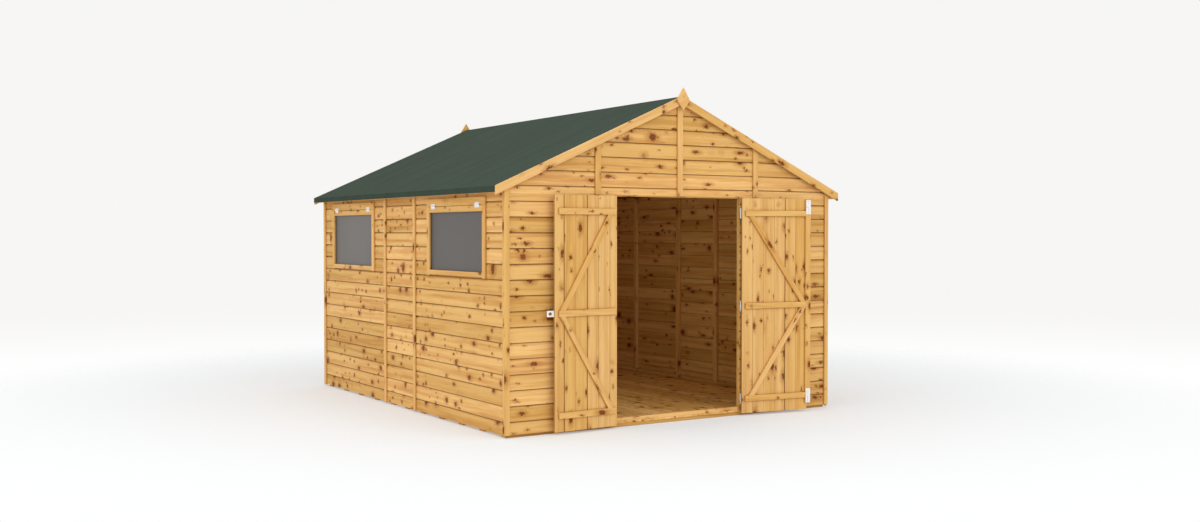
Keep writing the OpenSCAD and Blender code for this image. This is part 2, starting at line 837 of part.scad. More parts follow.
// Boards of a door from its hinge edge on the left, with their first joint at a distance from that edge
module door_boards(width, first) {
    joints = [for (x = [first:door_board_w:width - door_board_w * 0.3]) x];
    translate([0, 0, door_bottom]) linear_extrude(door_top - door_bottom)
        polygon(board_section(0, width, leaf_y, leaf_in, joints, vee_d, joint_d));
}

module left_door_boards() {
    color("goldenrod") left_door() translate([-leaf_x, 0, 0]) door_boards(left_door_w, left_joint_x);
}

module left_door_ledges() {
    color("orange") left_door() ledges(ledge_inset_left - leaf_x, meet_left - ledge_inset_free);
}

module left_door_braces() {
    run = brace_w * 1.4;
    x_hinge = ledge_inset_left + brace_inset - leaf_x;
    color("orange") left_door() brace_pair(x_hinge, meet_left - ledge_inset_free - run);
}

module left_door_hinges() {
    color("silver") left_door() mirror([1, 0, 0]) for (level = HINGE_LEVELS) strap_hinge(level);
}

// Outline of the hasp's arm from the left door's edge: round corners at its end and a round-ended slot
module hasp_arm() {
    end = hasp_reach - plate_corner;
    half = hasp_h / 2 - plate_corner;
    difference() {
        union() {
            translate([0, -hasp_h / 2]) square([end, hasp_h]);
            translate([0, -half]) square([hasp_reach, 2 * half]);
            for (side = [-1, 1]) translate([end, side * half]) circle(r = plate_corner);
        }
        translate([hasp_reach / 2, 0]) {
            for (side = [-1, 1]) translate([side * (slot_l - slot_h) / 2, 0]) circle(r = slot_h / 2);
            square([slot_l - slot_h, slot_h], center = true);
        }
    }
}

module left_door_hasp() {
    arm_y = leaf_y - plate_t - door_gap - hasp_t;
    color("silver") left_door() translate([meet_left, 0, ledge_mid_z]) {
        block([-hasp_foot, leaf_y - hasp_t, -hasp_h / 2], [-hasp_t, leaf_y, hasp_h / 2]);
        block([-hasp_t, arm_y, -hasp_h / 2], [0, leaf_y, hasp_h / 2]);
        translate([0, arm_y + hasp_t, 0]) rotate([90, 0, 0]) linear_extrude(hasp_t) hasp_arm();
    }
}

module right_door_boards() {
    color("goldenrod") right_door() translate([leaf_x, 0, 0]) mirror([1, 0, 0])
        door_boards(right_door_w, right_joint_x);
}

module right_door_ledges() {
    color("orange") right_door() ledges(cover_x + cover_w, leaf_x - ledge_inset_hinge);
}

module right_door_braces() {
    run = brace_w * 1.4;
    x_hinge = leaf_x - ledge_inset_hinge - brace_inset - run;
    color("orange") right_door() brace_pair(x_hinge, cover_x + cover_w);
}

module right_door_cover() {
    color("orange") right_door() difference() {
        block([cover_x, leaf_in, cover_low], [cover_x + cover_w, ledge_in, cover_high]);
        block([cover_x - 1, leaf_in - 1, cover_low - 1], [meet_right, leaf_in + door_gap, cover_high + 1]);
    }
}

// Tower bolt on the cover strip: round-cornered plate, bolt, two domed guards over it and a knob
module tower_bolt(z_from) {
    translate([cover_x + cover_w / 2, ledge_in, z_from]) {
        translate([0, plate_t, bolt_h / 2]) rotate([90, 0, 0]) linear_extrude(plate_t)
            round_plate(bolt_w, bolt_h);
        translate([0, plate_t + bolt_r, 1]) {
            cylinder(r = bolt_r, h = bolt_h - 2);
            for (share = [0.12, 0.72])
                translate([0, 0, share * bolt_h]) cylinder(r = guard_r, h = 0.16 * bolt_h);
            translate([0, 0, bolt_h / 2]) rotate([0, 90, 0]) cylinder(r = bolt_r, h = bolt_w / 2);
        }
    }
}

module right_door_bolts() {
    color("white") right_door() {
        tower_bolt(cover_low);
        tower_bolt(cover_high - bolt_h);
    }
}

module right_door_hinges() {
    color("silver") right_door() for (level = HINGE_LEVELS) strap_hinge(level);
}

// Staple that the hasp's slot drops over when both doors are shut
module right_door_staple() {
    color("silver") right_door() translate([meet_left + hasp_reach / 2, leaf_y, ledge_mid_z]) {
        block([-staple_span, -plate_t, -slot_h], [staple_span, 0, slot_h]);
        for (side = [-1, 1]) translate([side * staple_span / 2, 0, 0]) rotate([90, 0, 0])
            cylinder(r = staple_r, h = staple_out - staple_r);
        translate([0, -staple_out + staple_r, 0]) rotate([0, 90, 0])
            cylinder(r = staple_r, h = staple_span + 2 * staple_r, center = true);
    }
}

floor_bearers();
floor_boards();
threshold();
front_wall_left();
front_wall_right();
front_gable();
back_wall();
left_wall_front();
left_wall_middle();
left_wall_back();
right_wall_front();
right_wall_middle();
right_wall_back();
front_studs();
back_studs();
side_studs();
wall_rails();
gable_rafters();
corner_strips();
side_strips();
gable_strips();
roof_boards_left();
roof_boards_right();
roof_rails();
roof_felt();
bargeboards_front();
bargeboards_back();
finials();
window_frames();
window_sashes();
window_panes();
window_hinges();
jamb_hinges();
left_door_boards();
left_door_ledges();
left_door_braces();
left_door_hinges();
left_door_hasp();
right_door_boards();
right_door_ledges();
right_door_braces();
right_door_cover();
right_door_bolts();
right_door_hinges();
right_door_staple();
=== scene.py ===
"""Looks of the timber workshop shed: boards, timbers, felt, panes, ironmongery and the stage."""

import json
import math
import random

import bmesh
import bpy
from bpy.props import FloatProperty, FloatVectorProperty, IntProperty, PointerProperty
from mathutils import Matrix, Vector


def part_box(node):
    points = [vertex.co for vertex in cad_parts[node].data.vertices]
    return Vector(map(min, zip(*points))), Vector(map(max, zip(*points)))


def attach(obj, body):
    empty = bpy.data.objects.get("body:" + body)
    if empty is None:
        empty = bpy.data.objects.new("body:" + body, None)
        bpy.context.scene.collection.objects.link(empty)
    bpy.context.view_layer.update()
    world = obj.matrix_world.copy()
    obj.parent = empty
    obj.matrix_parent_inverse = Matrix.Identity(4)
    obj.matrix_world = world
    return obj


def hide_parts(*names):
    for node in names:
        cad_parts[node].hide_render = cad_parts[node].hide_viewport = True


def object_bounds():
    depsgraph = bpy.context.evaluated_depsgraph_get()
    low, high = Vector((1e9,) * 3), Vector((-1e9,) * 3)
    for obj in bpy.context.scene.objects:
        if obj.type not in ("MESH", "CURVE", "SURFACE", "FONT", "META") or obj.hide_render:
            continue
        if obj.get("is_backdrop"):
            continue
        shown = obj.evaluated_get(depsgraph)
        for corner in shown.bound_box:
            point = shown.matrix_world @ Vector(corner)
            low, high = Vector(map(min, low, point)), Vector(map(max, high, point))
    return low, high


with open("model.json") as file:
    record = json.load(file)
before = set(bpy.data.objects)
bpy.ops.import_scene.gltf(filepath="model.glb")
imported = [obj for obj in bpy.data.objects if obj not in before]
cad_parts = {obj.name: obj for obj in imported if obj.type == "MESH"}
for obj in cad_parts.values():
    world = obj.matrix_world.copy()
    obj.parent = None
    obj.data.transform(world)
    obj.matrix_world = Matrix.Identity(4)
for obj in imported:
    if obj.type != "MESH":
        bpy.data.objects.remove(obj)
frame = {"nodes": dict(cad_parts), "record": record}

bl_info = {
    "name": "Workshop Shed",
    "version": (1, 0, 0),
    "blender": (4, 5, 0),
    "location": "3D View > Sidebar > Shed",
    "description": "Dresses the solids of a timber workshop shed with boards, felt, panes and ironmongery",
    "category": "Object",
}

CAD_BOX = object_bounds()
JOINTS = {joint["name"]: joint for joint in frame["record"]["behaviour"]["joints"]}

# How far each leaf stands open at rest, in degrees about its hinge pins
OPEN = {"left_door": -176.5, "right_door": 173.0}

# Points that are closer than this stand at the same place
NEAR = 1e-4

# The ridge's last sliver of wall, which no board fills
APEX_GAP = 0.004

# Arrises of the roof boards and beads, and screws of the bolts and window hinges, as shares of the usual size
LIGHT_ARRIS, SMALL_SCREW = 0.6, 0.8

X, Y, Z = AXES = Vector((1, 0, 0)), Vector((0, 1, 0)), Vector((0, 0, 1))

CAMERA_PLACE = (-5.5133, -9.3312, 1.4273)
CAMERA_DIP, CAMERA_HEADING = 1.302, -32.354


# Sizes and colours that a user would change

class ShedTimber(bpy.types.PropertyGroup):
    """Sizes and colours of the shed's boards and framing"""

    cover: FloatProperty(name="Board cover", description="Visible height of a shiplap board",
                         default=0.11, unit="LENGTH")
    joint_level: FloatProperty(name="First joint", description="Height of the lowest shiplap joint line",
                               default=0.001, unit="LENGTH")
    scoop: FloatProperty(name="Scoop height", description="Height of the hollow at a shiplap board's top",
                         default=0.014, unit="LENGTH")
    lap_depth: FloatProperty(name="Lap depth", description="Depth of the hollow under the next board's lip",
                             default=0.0068, unit="LENGTH")
    cove_start: FloatProperty(name="Cove start", description="Angle at which the hollow leaves the face",
                              default=math.radians(30), subtype="ANGLE")
    arris: FloatProperty(name="Arris", description="Width of the planed arrises",
                         default=0.0015, unit="LENGTH")
    door_cover: FloatProperty(name="Door board cover", description="Visible width of a door board",
                              default=0.1, unit="LENGTH")
    floor_cover: FloatProperty(name="Floor board cover", description="Visible width of a floor or roof board",
                               default=0.095, unit="LENGTH")
    foot_gap: FloatProperty(name="Foot gap", description="Rise of the side walls' lowest boards",
                            default=0.006, unit="LENGTH")
    seed: IntProperty(name="Seed", description="Changes which board is cut from which part of the tree",
                      default=7)
    pale: FloatVectorProperty(name="Pale pine", description="Sapwood between the growth rings", size=3,
                              subtype="COLOR", default=(0.83, 0.5, 0.165))
    honey: FloatVectorProperty(name="Honey pine", description="Stained wood of the growth rings", size=3,
                               subtype="COLOR", default=(0.67, 0.34, 0.088))
    ring: FloatVectorProperty(name="Late wood", description="Dark lines of the growth rings", size=3,
                              subtype="COLOR", default=(0.45, 0.17, 0.033))
    knot: FloatVectorProperty(name="Knot", description="Heart of a knot", size=3,
                              subtype="COLOR", default=(0.19, 0.046, 0.006))
    # The joint colour is a dark stain in the joints that also paints the shade in their hollows
    joint: FloatVectorProperty(name="Joint stain", description="Dark stain that stands in the joints", size=3,
                               subtype="COLOR", default=(0.15, 0.055, 0.014))


class ShedFinish(bpy.types.PropertyGroup):
    """Colours of the felt, panes and metal, and sizes of the screw and nail heads"""

    felt: FloatVectorProperty(name="Felt", description="Mineral surface of the felt", size=3,
                              subtype="COLOR", default=(0.039, 0.059, 0.041))
    felt_dark: FloatVectorProperty(name="Felt shade", description="Darker mineral of the felt", size=3,
                                   subtype="COLOR", default=(0.032, 0.05, 0.034))
    pane: FloatVectorProperty(name="Pane", description="Grey cast of the panes", size=3,
                              subtype="COLOR", default=(0.105, 0.096, 0.088))
    zinc: FloatVectorProperty(name="Zinc", description="Plated steel of the door furniture", size=3,
                              subtype="COLOR", default=(0.72, 0.73, 0.75))
    white_metal: FloatVectorProperty(name="Pale coating", description="Coated bolts and window hinges",
                                     size=3, subtype="COLOR", default=(0.95, 0.95, 0.95))
    screw_radius: FloatProperty(name="Screw head", description="Radius of the screw heads",
                                default=0.0035, unit="LENGTH")
    nail_radius: FloatProperty(name="Nail head", description="Radius of the nail heads",
                               default=0.0022, unit="LENGTH")


class ShedStage(bpy.types.PropertyGroup):
    """Light, floor and camera"""

    backdrop: FloatVectorProperty(name="Backdrop", description="Colour behind the shed", size=3,
                                  subtype="COLOR", default=(0.927, 0.92, 0.91))
    foot: FloatVectorProperty(name="Near floor", description="Colour of the ground in front of the shed",
                              size=3, subtype="COLOR", default=(1.0, 1.0, 1.0))
    sky: FloatProperty(name="Sky light", description="Strength of the light from all round", default=0.8)
    key: FloatProperty(name="Key light", description="Power of the large lamp in front", default=172.0)
    fill: FloatProperty(name="Fill light", description="Power of the large lamp at the left", default=180.0)
    doorway: FloatProperty(name="Doorway light", description="Power of the low lamp in front of the doorway",
                           default=30.0)
    room: FloatProperty(name="Room light", description="Power of the soft lamp inside the room", default=3.0)
    top: FloatProperty(name="Top light", description="Power of the softbox over the shed", default=120.0)
    focal: FloatProperty(name="Focal length", description="Focal length for a 36 mm sensor", default=37.182)


SETTINGS = (("shed_timber", ShedTimber), ("shed_finish", ShedFinish), ("shed_stage", ShedStage))


# Boards and timbers

def new_object(name, points, faces, material):
    """A mesh object of one material, in the scene"""
    mesh = bpy.data.meshes.new(name)
    mesh.from_pydata(points, [], faces)
    mesh.materials.append(material)
    made = bpy.data.objects.new(name, mesh)
    bpy.context.scene.collection.objects.link(made)
    return made


def prism(count, rings):
    """Faces of a bar made of rings of count points, with its two ends"""
    faces = [[first + i, first + (i + 1) % count, first + count + (i + 1) % count, first + count + i]
             for first in range(0, (rings - 1) * count, count) for i in range(count)]
    return faces + [list(range(count))[::-1], list(range((rings - 1) * count, rings * count))]


class Stack:
    """The solids of one piece, with the grain's place, the tone and the joint stain with painted shade kept
    on every point
    """

    def __init__(self, seed):
        self.points, self.faces, self.grain, self.tones, self.stain_and_shade = [], [], [], [], []
        self.chance = random.Random(seed)

    def tree(self):
        """Where a new board lies in the tree, and its tone"""
        chance = self.chance
        return Vector((chance.uniform(0, 40), chance.uniform(0, 40), chance.uniform(0, 40))), chance.random()

    def add(self, points, faces, along, across, cut, stain_and_shade=None):
        """Adds points and faces whose grain runs along one direction, with the joint stain and painted shade
        on each point
        """
        first = len(self.points)
        depth = along.cross(across)
        offset, tone = cut
        for point in points:
            self.points.append(point)
            self.grain.append(Vector((point.dot(along), point.dot(across), point.dot(depth))) + offset)
            self.tones.append(tone)
        self.stain_and_shade.extend(stain_and_shade or [0.0] * len(points))
        self.faces.extend([first + i for i in face] for face in faces)

    def add_solid(self, solid, along, across, cut):
        """Adds a bmesh and frees it"""
        solid.verts.index_update()
        self.add([vert.co.copy() for vert in solid.verts],
                 [[vert.index for vert in face.verts] for face in solid.faces], along, across, cut)
        solid.free()

    def object(self, name, body, slot, material, *hidden):
        """Makes the object, puts it on its body and hides the solids that it stands for"""
        made = new_object(name, self.points, self.faces, material)
        grain = [value for vector in self.grain for value in vector]
        for key, kind, field, values in (("grain", "FLOAT_VECTOR", "vector", grain),
                                         ("tone", "FLOAT", "value", self.tones),
                                         ("stain_and_shade", "FLOAT", "value", self.stain_and_shade)):
            made.data.attributes.new(key, kind, "POINT").data.foreach_set(field, values)
        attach(made, body)
        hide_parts(*hidden)


def clipped(outline, limit, keep_above):
    """The part of an outline of (depth, height) on one side of a level"""
    sign = 1 if keep_above else -1
    result = []
    for i, point in enumerate(outline):
        before = outline[i - 1]
        inside, was_inside = sign * (point[1] - limit) >= 0, sign * (before[1] - limit) >= 0
        if inside != was_inside:
            t = (limit - before[1]) / (point[1] - before[1])
            result.append(tuple(before[k] + t * (point[k] - before[k]) for k in (0, 1)))
        if inside:
            result.append(point)
    return result


def run(stack, outline, start, end, place, cut):
    """A board whose outline is carried along a wall from start to end, which may depend on the height"""
    clean_end = 0.0015
    count = len(outline)
    inset = math.copysign(clean_end, end(outline[0][1]) - start(outline[0][1]))
    points = [place(way(z) + shift, d, z)
              for way, shift in ((start, 0), (start, inset), (end, -inset), (end, 0)) for d, z in outline]
    faces = prism(count, 4)
    origin = place(0, 0, 0)
    along = (place(1, 0, 0) - origin).normalized()
    across = (place(0, 0, 1) - origin).normalized()
    if along.cross(across).dot(place(0, 1, 0) - origin) > 0:
        faces = [face[::-1] for face in faces]
    thick = max(d for d, _ in outline)
    clean = [0.0] * count
    # Joint stain with painted shade on the inner rings, deeper than the board's faces; the cut ends stay
    # clean
    stain_and_shade_ring = [joint_stain_and_shade(d, thick) for d, _ in outline]
    stack.add(points, faces, along, across, cut, clean + stain_and_shade_ring * 2 + clean)


def joint_stain_and_shade(d, thick):
    """How dark a joint is at a depth, a stain that also paints the shade in its hollows: clean on both faces
    of the board, full between them
    """
    clean, fade_in, fade_out = 0.0042, 0.0022, 0.0006
    return max(0.0, min(1.0, (d - clean) / fade_in, (thick - d) / fade_out))


def shiplap_outline(timber, bottom, thickness):
    """Depth and height of a shiplap board's outline, with its lip, hollow and tongue"""
    cover, deep, scoop, start = timber.cover, timber.lap_depth, timber.scoop, timber.cove_start
    tongue, rebate_gap, lip_gap, tongue_gap = 0.006, 0.0006, 0.0003, 0.0002
    lip_arris, inner_arris, steps = 0.0012, 0.0026, 6
    lip, rebate, top = deep - lip_gap, bottom + tongue + rebate_gap, bottom + cover + tongue
    outline = [(0.0, bottom + lip_arris), (lip_arris, bottom), (lip, bottom), (lip, rebate),
               (thickness - inner_arris, rebate), (thickness, rebate + inner_arris),
               (thickness, top - inner_arris), (thickness - inner_arris, top), (deep + tongue_gap, top)]
    for i in range(steps + 1):
        angle = start + (math.pi / 2 - start) * (1 - i / steps)
        outline.append((deep * (math.sin(angle) - math.sin(start)) / (1 - math.sin(start)),
                        bottom + cover - scoop * math.cos(angle) / math.cos(start)))
    return outline


def shiplap(stack, timber, node, axis, inward, start=None, end=None, foot=0.0, top=None, levels=(),
            hole=None):
    """Rows of shiplap boards in place of a wall panel, cut at the panel's edges and round a window"""
    thinnest, near = 0.0008, 1e-6
    corner, far_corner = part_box(node)
    thickness = far_corner[axis] - corner[axis]
    place = wall_place(axis, (corner if inward > 0 else far_corner)[axis], inward)
    start, end = start or level(corner[1 - axis]), end or level(far_corner[1 - axis])
    low, high = corner[2] + foot, top or far_corner[2]
    first = math.floor((low - timber.joint_level) / timber.cover) - 1
    last = math.ceil((high - timber.joint_level) / timber.cover)
    cuts = [*levels, *(hole[2:] if hole else ())]
    edges = sorted({low, high, *[z for z in cuts if low < z < high]})
    for row in range(first, last + 1):
        cut = stack.tree()
        whole = shiplap_outline(timber, timber.joint_level + row * timber.cover, thickness)
        for z_low, z_high in zip(edges, edges[1:]):
            outline = clipped(clipped(whole, z_low, True), z_high, False)
            if len(outline) < 3 or max(p[1] for p in outline) - min(p[1] for p in outline) < thinnest:
                continue
            if hole and z_low >= hole[2] - near and z_high <= hole[3] + near:
                run(stack, outline, start, level(hole[0]), place, cut)
                run(stack, outline, level(hole[1]), end, place, cut)
            else:
                run(stack, outline, start, end, place, cut)


def loose_solids(node):
    """The separate solids of a CAD node, each as a bmesh with its flat faces whole"""
    source = bmesh.new()
    source.from_mesh(frame["nodes"][node].data)
    bmesh.ops.remove_doubles(source, verts=source.verts, dist=1e-5)
    left = set(source.verts)
    solids = []
    while left:
        front = [left.pop()]
        found = set(front)
        while front:
            for edge in front.pop().link_edges:
                for vert in edge.verts:
                    if vert not in found:
                        found.add(vert)
                        left.discard(vert)
                        front.append(vert)
        solid = bmesh.new()
        copy = {vert: solid.verts.new(vert.co) for vert in sorted(found, key=lambda v: v.index)}
        for face in source.faces:
            if face.verts[0] in found:
                solid.faces.new([copy[vert] for vert in face.verts])
        bmesh.ops.dissolve_limit(solid, angle_limit=math.radians(1), verts=solid.verts, edges=solid.edges)
        solids.append((min(tuple(round(c, 4) for c in vert.co) for vert in solid.verts), solid))
    source.free()
    return [solid for _, solid in sorted(solids, key=lambda pair: pair[0])]


def soften(solid, width, segments, angle=None):
    """Planes a solid's arrises: all of them, or those sharper than an angle in degrees"""
    edges = [edge for edge in solid.edges
             if angle is None or edge.is_manifold and edge.calc_face_angle(0) > math.radians(angle)]
    bmesh.ops.bevel(solid, geom=edges, offset=width, segments=segments, affect="EDGES", clamp_overlap=True)


def timber_from(stack, solid, arris, along=None):
    """Adds one planed timber in the shape of a solid, with its grain along its longest edge"""
    if along is None:
        longest = max(solid.edges, key=lambda edge: round(edge.calc_length(), 5))
        along = (longest.verts[1].co - longest.verts[0].co).normalized()
    widths = [edge.verts[1].co - edge.verts[0].co for edge in solid.edges]
    widths = [width - width.dot(along) * along for width in widths]
    across = max(widths, key=lambda width: round(width.length, 5)).normalized()
    soften(solid, arris, 1, 30)
    stack.add_solid(solid, along, across, stack.tree())


def dressed(node, ending, body, slot, material, seed, arris, halves=False, fit=None):
    """A piece made of planed timbers in the shape of a CAD node, each fitted first where a fit is given"""
    stack = Stack(seed)
    for solid in loose_solids(node):
        if fit:
            fit(solid)
        if not halves:
            timber_from(stack, solid, arris)
            continue
        other = solid.copy()
        for half, clear in ((solid, {"clear_outer": True}), (other, {"clear_inner": True})):
            cut = bmesh.ops.bisect_plane(half, geom=half.verts[:] + half.edges[:] + half.faces[:],
                                         dist=1e-6, plane_co=(0, 0, 0), plane_no=(1, 0, 0), **clear)
            rim = [part for part in cut["geom_cut"] if isinstance(part, bmesh.types.BMEdge)]
            bmesh.ops.contextual_create(half, geom=rim)
            bmesh.ops.recalc_face_normals(half, faces=half.faces)
            timber_from(stack, half, arris)
    stack.object(node + ending, body, slot, material, node)


def box_timber(stack, low, high, along, arris):
    """One planed timber between two corners, with its grain along X, Y or Z"""
    low, high = Vector(low), Vector(high)
    solid = bmesh.new()
    bmesh.ops.create_cube(solid, size=1)
    for vert in solid.verts:
        vert.co = Vector([(low[k] + high[k]) / 2 + vert.co[k] * (high[k] - low[k]) for k in range(3)])
    soften(solid, arris, 1)
    widest = max((high[k] - low[k], k) for k in range(3) if k != along)[1]
    stack.add_solid(solid, AXES[along], AXES[widest], stack.tree())


def swing(door):
    """The turn of a door about its hinge pins, from shut to its rest place"""
    pivot = Vector(JOINTS[door + "_hinge"]["pos_m"])
    turn = Matrix.Rotation(math.radians(OPEN[door]), 4, "Z")
    return Matrix.Translation(pivot) @ turn @ Matrix.Translation(-pivot)


# Materials

class Tree:
    """The node tree of a material or the world, with short calls for its nodes"""

    def __init__(self, owner):
        owner.use_nodes = True
        self.nodes = owner.node_tree.nodes
        self.links = owner.node_tree.links

    def node(self, kind, inputs=(), **settings):
        """A new node with its settings, and its inputs linked or set"""
        made = self.nodes.new(kind)
        for key, value in settings.items():
            setattr(made, key, value)
        for key, value in dict(inputs).items():
            if isinstance(value, bpy.types.NodeSocket):
                self.links.new(value, made.inputs[key])
            else:
                made.inputs[key].default_value = value
        return made

    def maths(self, operation, a, b=0.0):
        """The result of a sum on one or two numbers"""
        return self.node("ShaderNodeMath", {0: a, 1: b}, operation=operation).outputs[0]

    def vector(self, operation, *inputs, output="Vector"):
        """The result of a sum on vectors"""
        made = self.node("ShaderNodeVectorMath", dict(enumerate(inputs)), operation=operation)
        return made.outputs[output]

    def scaled(self, vector, sizes):
        """A vector times another, part by part"""
        return self.vector("MULTIPLY", vector, sizes)

    def ramp(self, value, low, high, start=0.0, end=1.0):
        """A smooth step from start to end while the value goes from low to high"""
        return self.node("ShaderNodeMapRange", {"Value": value, "From Min": low, "From Max": high,
                                                "To Min": start, "To Max": end},
                         interpolation_type="SMOOTHSTEP").outputs[0]

    def blend(self, amount, first, second, mode="MIX"):
        """A mix of two colours, each a socket or three numbers"""
        colours = [value if isinstance(value, bpy.types.NodeSocket) else (*value, 1.0)
                   for value in (first, second)]
        return self.node("ShaderNodeMix", {0: amount, 6: colours[0], 7: colours[1]},
                         data_type="RGBA", blend_type=mode).outputs[2]

    def surface(self, output, amount, first, second):
        """Mixes two shaders into the output"""
        mix = self.node("ShaderNodeMixShader", {0: amount, 1: first.outputs[0], 2: second.outputs[0]})
        self.links.new(mix.outputs[0], self.nodes[output].inputs["Surface"])


class Finish(Tree):
    """A material with one principled shader"""

    def __init__(self, name):
        self.material = bpy.data.materials.new(name)
        super().__init__(self.material)
        self.shader = self.nodes["Principled BSDF"]

    def where(self):
        """The object's own coordinates, which stay on it as it moves"""
        return self.node("ShaderNodeTexCoord").outputs["Object"]

    def noise(self, vector, scale, detail=3.0, rough=0.55, output="Fac"):
        """Cloudy noise at a place"""
        return self.node("ShaderNodeTexNoise", {"Vector": vector, "Scale": scale, "Detail": detail,
                                                "Roughness": rough}).outputs[output]

    def set(self, **values):
        """Links or sets the shader's inputs by name"""
        for key, value in values.items():
            socket = self.shader.inputs[key.replace("_", " ").title().replace("Ior", "IOR")]
            if isinstance(value, bpy.types.NodeSocket):
                self.links.new(value, socket)
            else:
                socket.default_value = (*value, 1.0) if key == "base_color" else value

    def bump(self, height, distance, strength):
        """Tilts the surface by a height"""
        normal = self.node("ShaderNodeBump", {"Height": height, "Distance": distance, "Strength": strength})
        self.links.new(normal.outputs[0], self.shader.inputs["Normal"])


# Large knots, then small ones: cells to a metre along and across, a knot's half length and half width, and
# the noise levels between which a whorl of them begins
KNOTS = (((4.2, 8.0, 0.0), 0.019, 0.0095, 0.37, 0.47), ((9.0, 16.0, 0.0), 0.009, 0.0042, 0.48, 0.55))


def knot_masks(finish, grain, share, tall):
    """Hearts and reddish rims of ragged knots, which stand in whorls with small ones near the large ones"""
    jag = finish.noise(grain, 72.0, 3.0, 0.75, output="Color")
    shift = finish.vector("MULTIPLY_ADD", jag, (0.052, 0.054, 0.0), (-0.026, -0.027, 0.0))
    ragged = finish.vector("ADD", grain, shift)
    whorl = finish.noise(finish.scaled(grain, (3.0, 1.2, 0.0)), 1.0, 1.0)
    hearts, rims = [], []
    for cells, along, across, few, many in KNOTS:
        spread = finish.scaled(ragged, cells)
        spots = finish.node("ShaderNodeTexVoronoi", {"Vector": spread, "Scale": 1.0}, voronoi_dimensions="2D")
        pick = finish.node("ShaderNodeSeparateColor", {"Color": spots.outputs["Color"]}).outputs
        there = finish.maths("MULTIPLY", finish.ramp(pick[0], 0.98 - share, 1.0 - share),
                             finish.ramp(whorl, few, many))
        away = finish.vector("SUBTRACT", spread, spots.outputs["Position"])
        length, height = math.sqrt(tall) / (cells[0] * along), 1 / (cells[1] * across * tall)
        oval = finish.scaled(away, (length, height, 0.0))
        narrow = finish.node("ShaderNodeCombineXYZ", {0: 1.0, 1: finish.ramp(pick[2], 0.4, 1.0, 1.15, 0.5)})
        shape = finish.scaled(oval, narrow.outputs[0])
        size = finish.ramp(pick[1], 0.0, 1.0, 0.7, 1.6)
        for masks, scale, outer, inner in ((hearts, (1.0, 1.0, 0.0), 1.2, 0.8),
                                           (rims, (0.36, 0.5, 0.0), 1.3, 0.2)):
            reach = finish.vector("LENGTH", finish.scaled(shape, scale), output="Value")
            place = finish.maths("DIVIDE", reach, size)
            masks.append(finish.maths("MULTIPLY", finish.ramp(place, outer, inner), there))
    return finish.maths("MAXIMUM", *hearts), finish.maths("MAXIMUM", *rims)


def pine(name, timber, knots, shade=1.0, rough=0.62, saw=0.0, spread=0.13, figure=1.0, corners=0.6, tall=1.0):
    """Stained pine: growth rings and fine fibres along the grain, clusters of red-brown knots, joint stain
    with painted shade, and painted shade in the corners
    """
    finish = Finish(name)
    grain = finish.node("ShaderNodeAttribute", attribute_name="grain").outputs["Vector"]
    tone, stain_and_shade = (finish.node("ShaderNodeAttribute", attribute_name=key).outputs["Fac"]
                   for key in ("tone", "stain_and_shade"))
    wobble = finish.noise(finish.scaled(grain, (3.0, 14.0, 14.0)), 1.0, 2.0, output="Color")
    drift = finish.vector("MULTIPLY_ADD", wobble, (0.0, 0.03, 0.03), (0.0, -0.015, -0.015))
    bent = finish.vector("ADD", grain, drift)
    rings = finish.noise(finish.scaled(bent, (0.7, 26.0, 26.0)), 1.0, 3.0, 0.6)
    fibres = finish.noise(finish.scaled(grain, (9.0, 420.0, 420.0)), 1.0, 3.0, 0.65)
    patches = finish.noise(finish.scaled(grain, (1.6, 7.0, 7.0)), 1.0, 2.0)
    heart, rim = knot_masks(finish, grain, knots, tall)
    colour = finish.blend(finish.ramp(rings, 0.38, 0.66, 0.0, figure), timber.pale, timber.honey)
    # The last mask darkens the joints: stain with painted shade in their hollows
    for mask, amount, tint in ((finish.ramp(rings, 0.58, 0.74), 0.4 * figure, timber.ring),
                               (finish.ramp(patches, 0.45, 0.75), 0.38, timber.honey),
                               (finish.ramp(fibres, 0.45, 0.8), 0.22, timber.ring),
                               (rim, 0.8, timber.ring),
                               (heart, 0.96, timber.knot),
                               (stain_and_shade, 0.82, timber.joint)):
        colour = finish.blend(finish.maths("MULTIPLY", mask, amount), colour, tint)
    value = finish.ramp(tone, 0.0, 1.0, (1.0 - spread) * shade, (1.0 + spread * 0.4) * shade)
    richness = finish.ramp(tone, 0.0, 1.0, 1.03, 0.965)
    colour = finish.node("ShaderNodeHueSaturation", {"Saturation": richness, "Value": value,
                                                     "Color": colour}).outputs[0]
    # Painted shade: an occlusion test darkens the colour towards brown in corners and creases and beside
    # strips and braces, by the corners share
    corner = finish.node("ShaderNodeAmbientOcclusion", {"Distance": 0.03}, samples=6).outputs["AO"]
    painted_shade = finish.blend(1.0, colour, (0.5, 0.31, 0.17), "MULTIPLY")
    colour = finish.blend(finish.ramp(corner, 0.8, 0.3, 0.0, corners), colour, painted_shade)
    roughness = finish.ramp(fibres, 0.3, 0.8, rough - 0.08, rough + 0.12)
    finish.set(base_color=colour, roughness=roughness, specular_ior_level=0.2)
    height = finish.maths("ADD", fibres, finish.maths("MULTIPLY", rings, 0.6))
    height = finish.maths("SUBTRACT", height, finish.maths("MULTIPLY", heart, 0.5))
    if saw:
        marks = finish.noise(finish.scaled(grain, (260.0, 6.0, 6.0)), 1.0, 1.0)
        height = finish.maths("ADD", height, finish.maths("MULTIPLY", marks, saw))
    finish.bump(height, 0.0006, 0.6)
    return finish.material


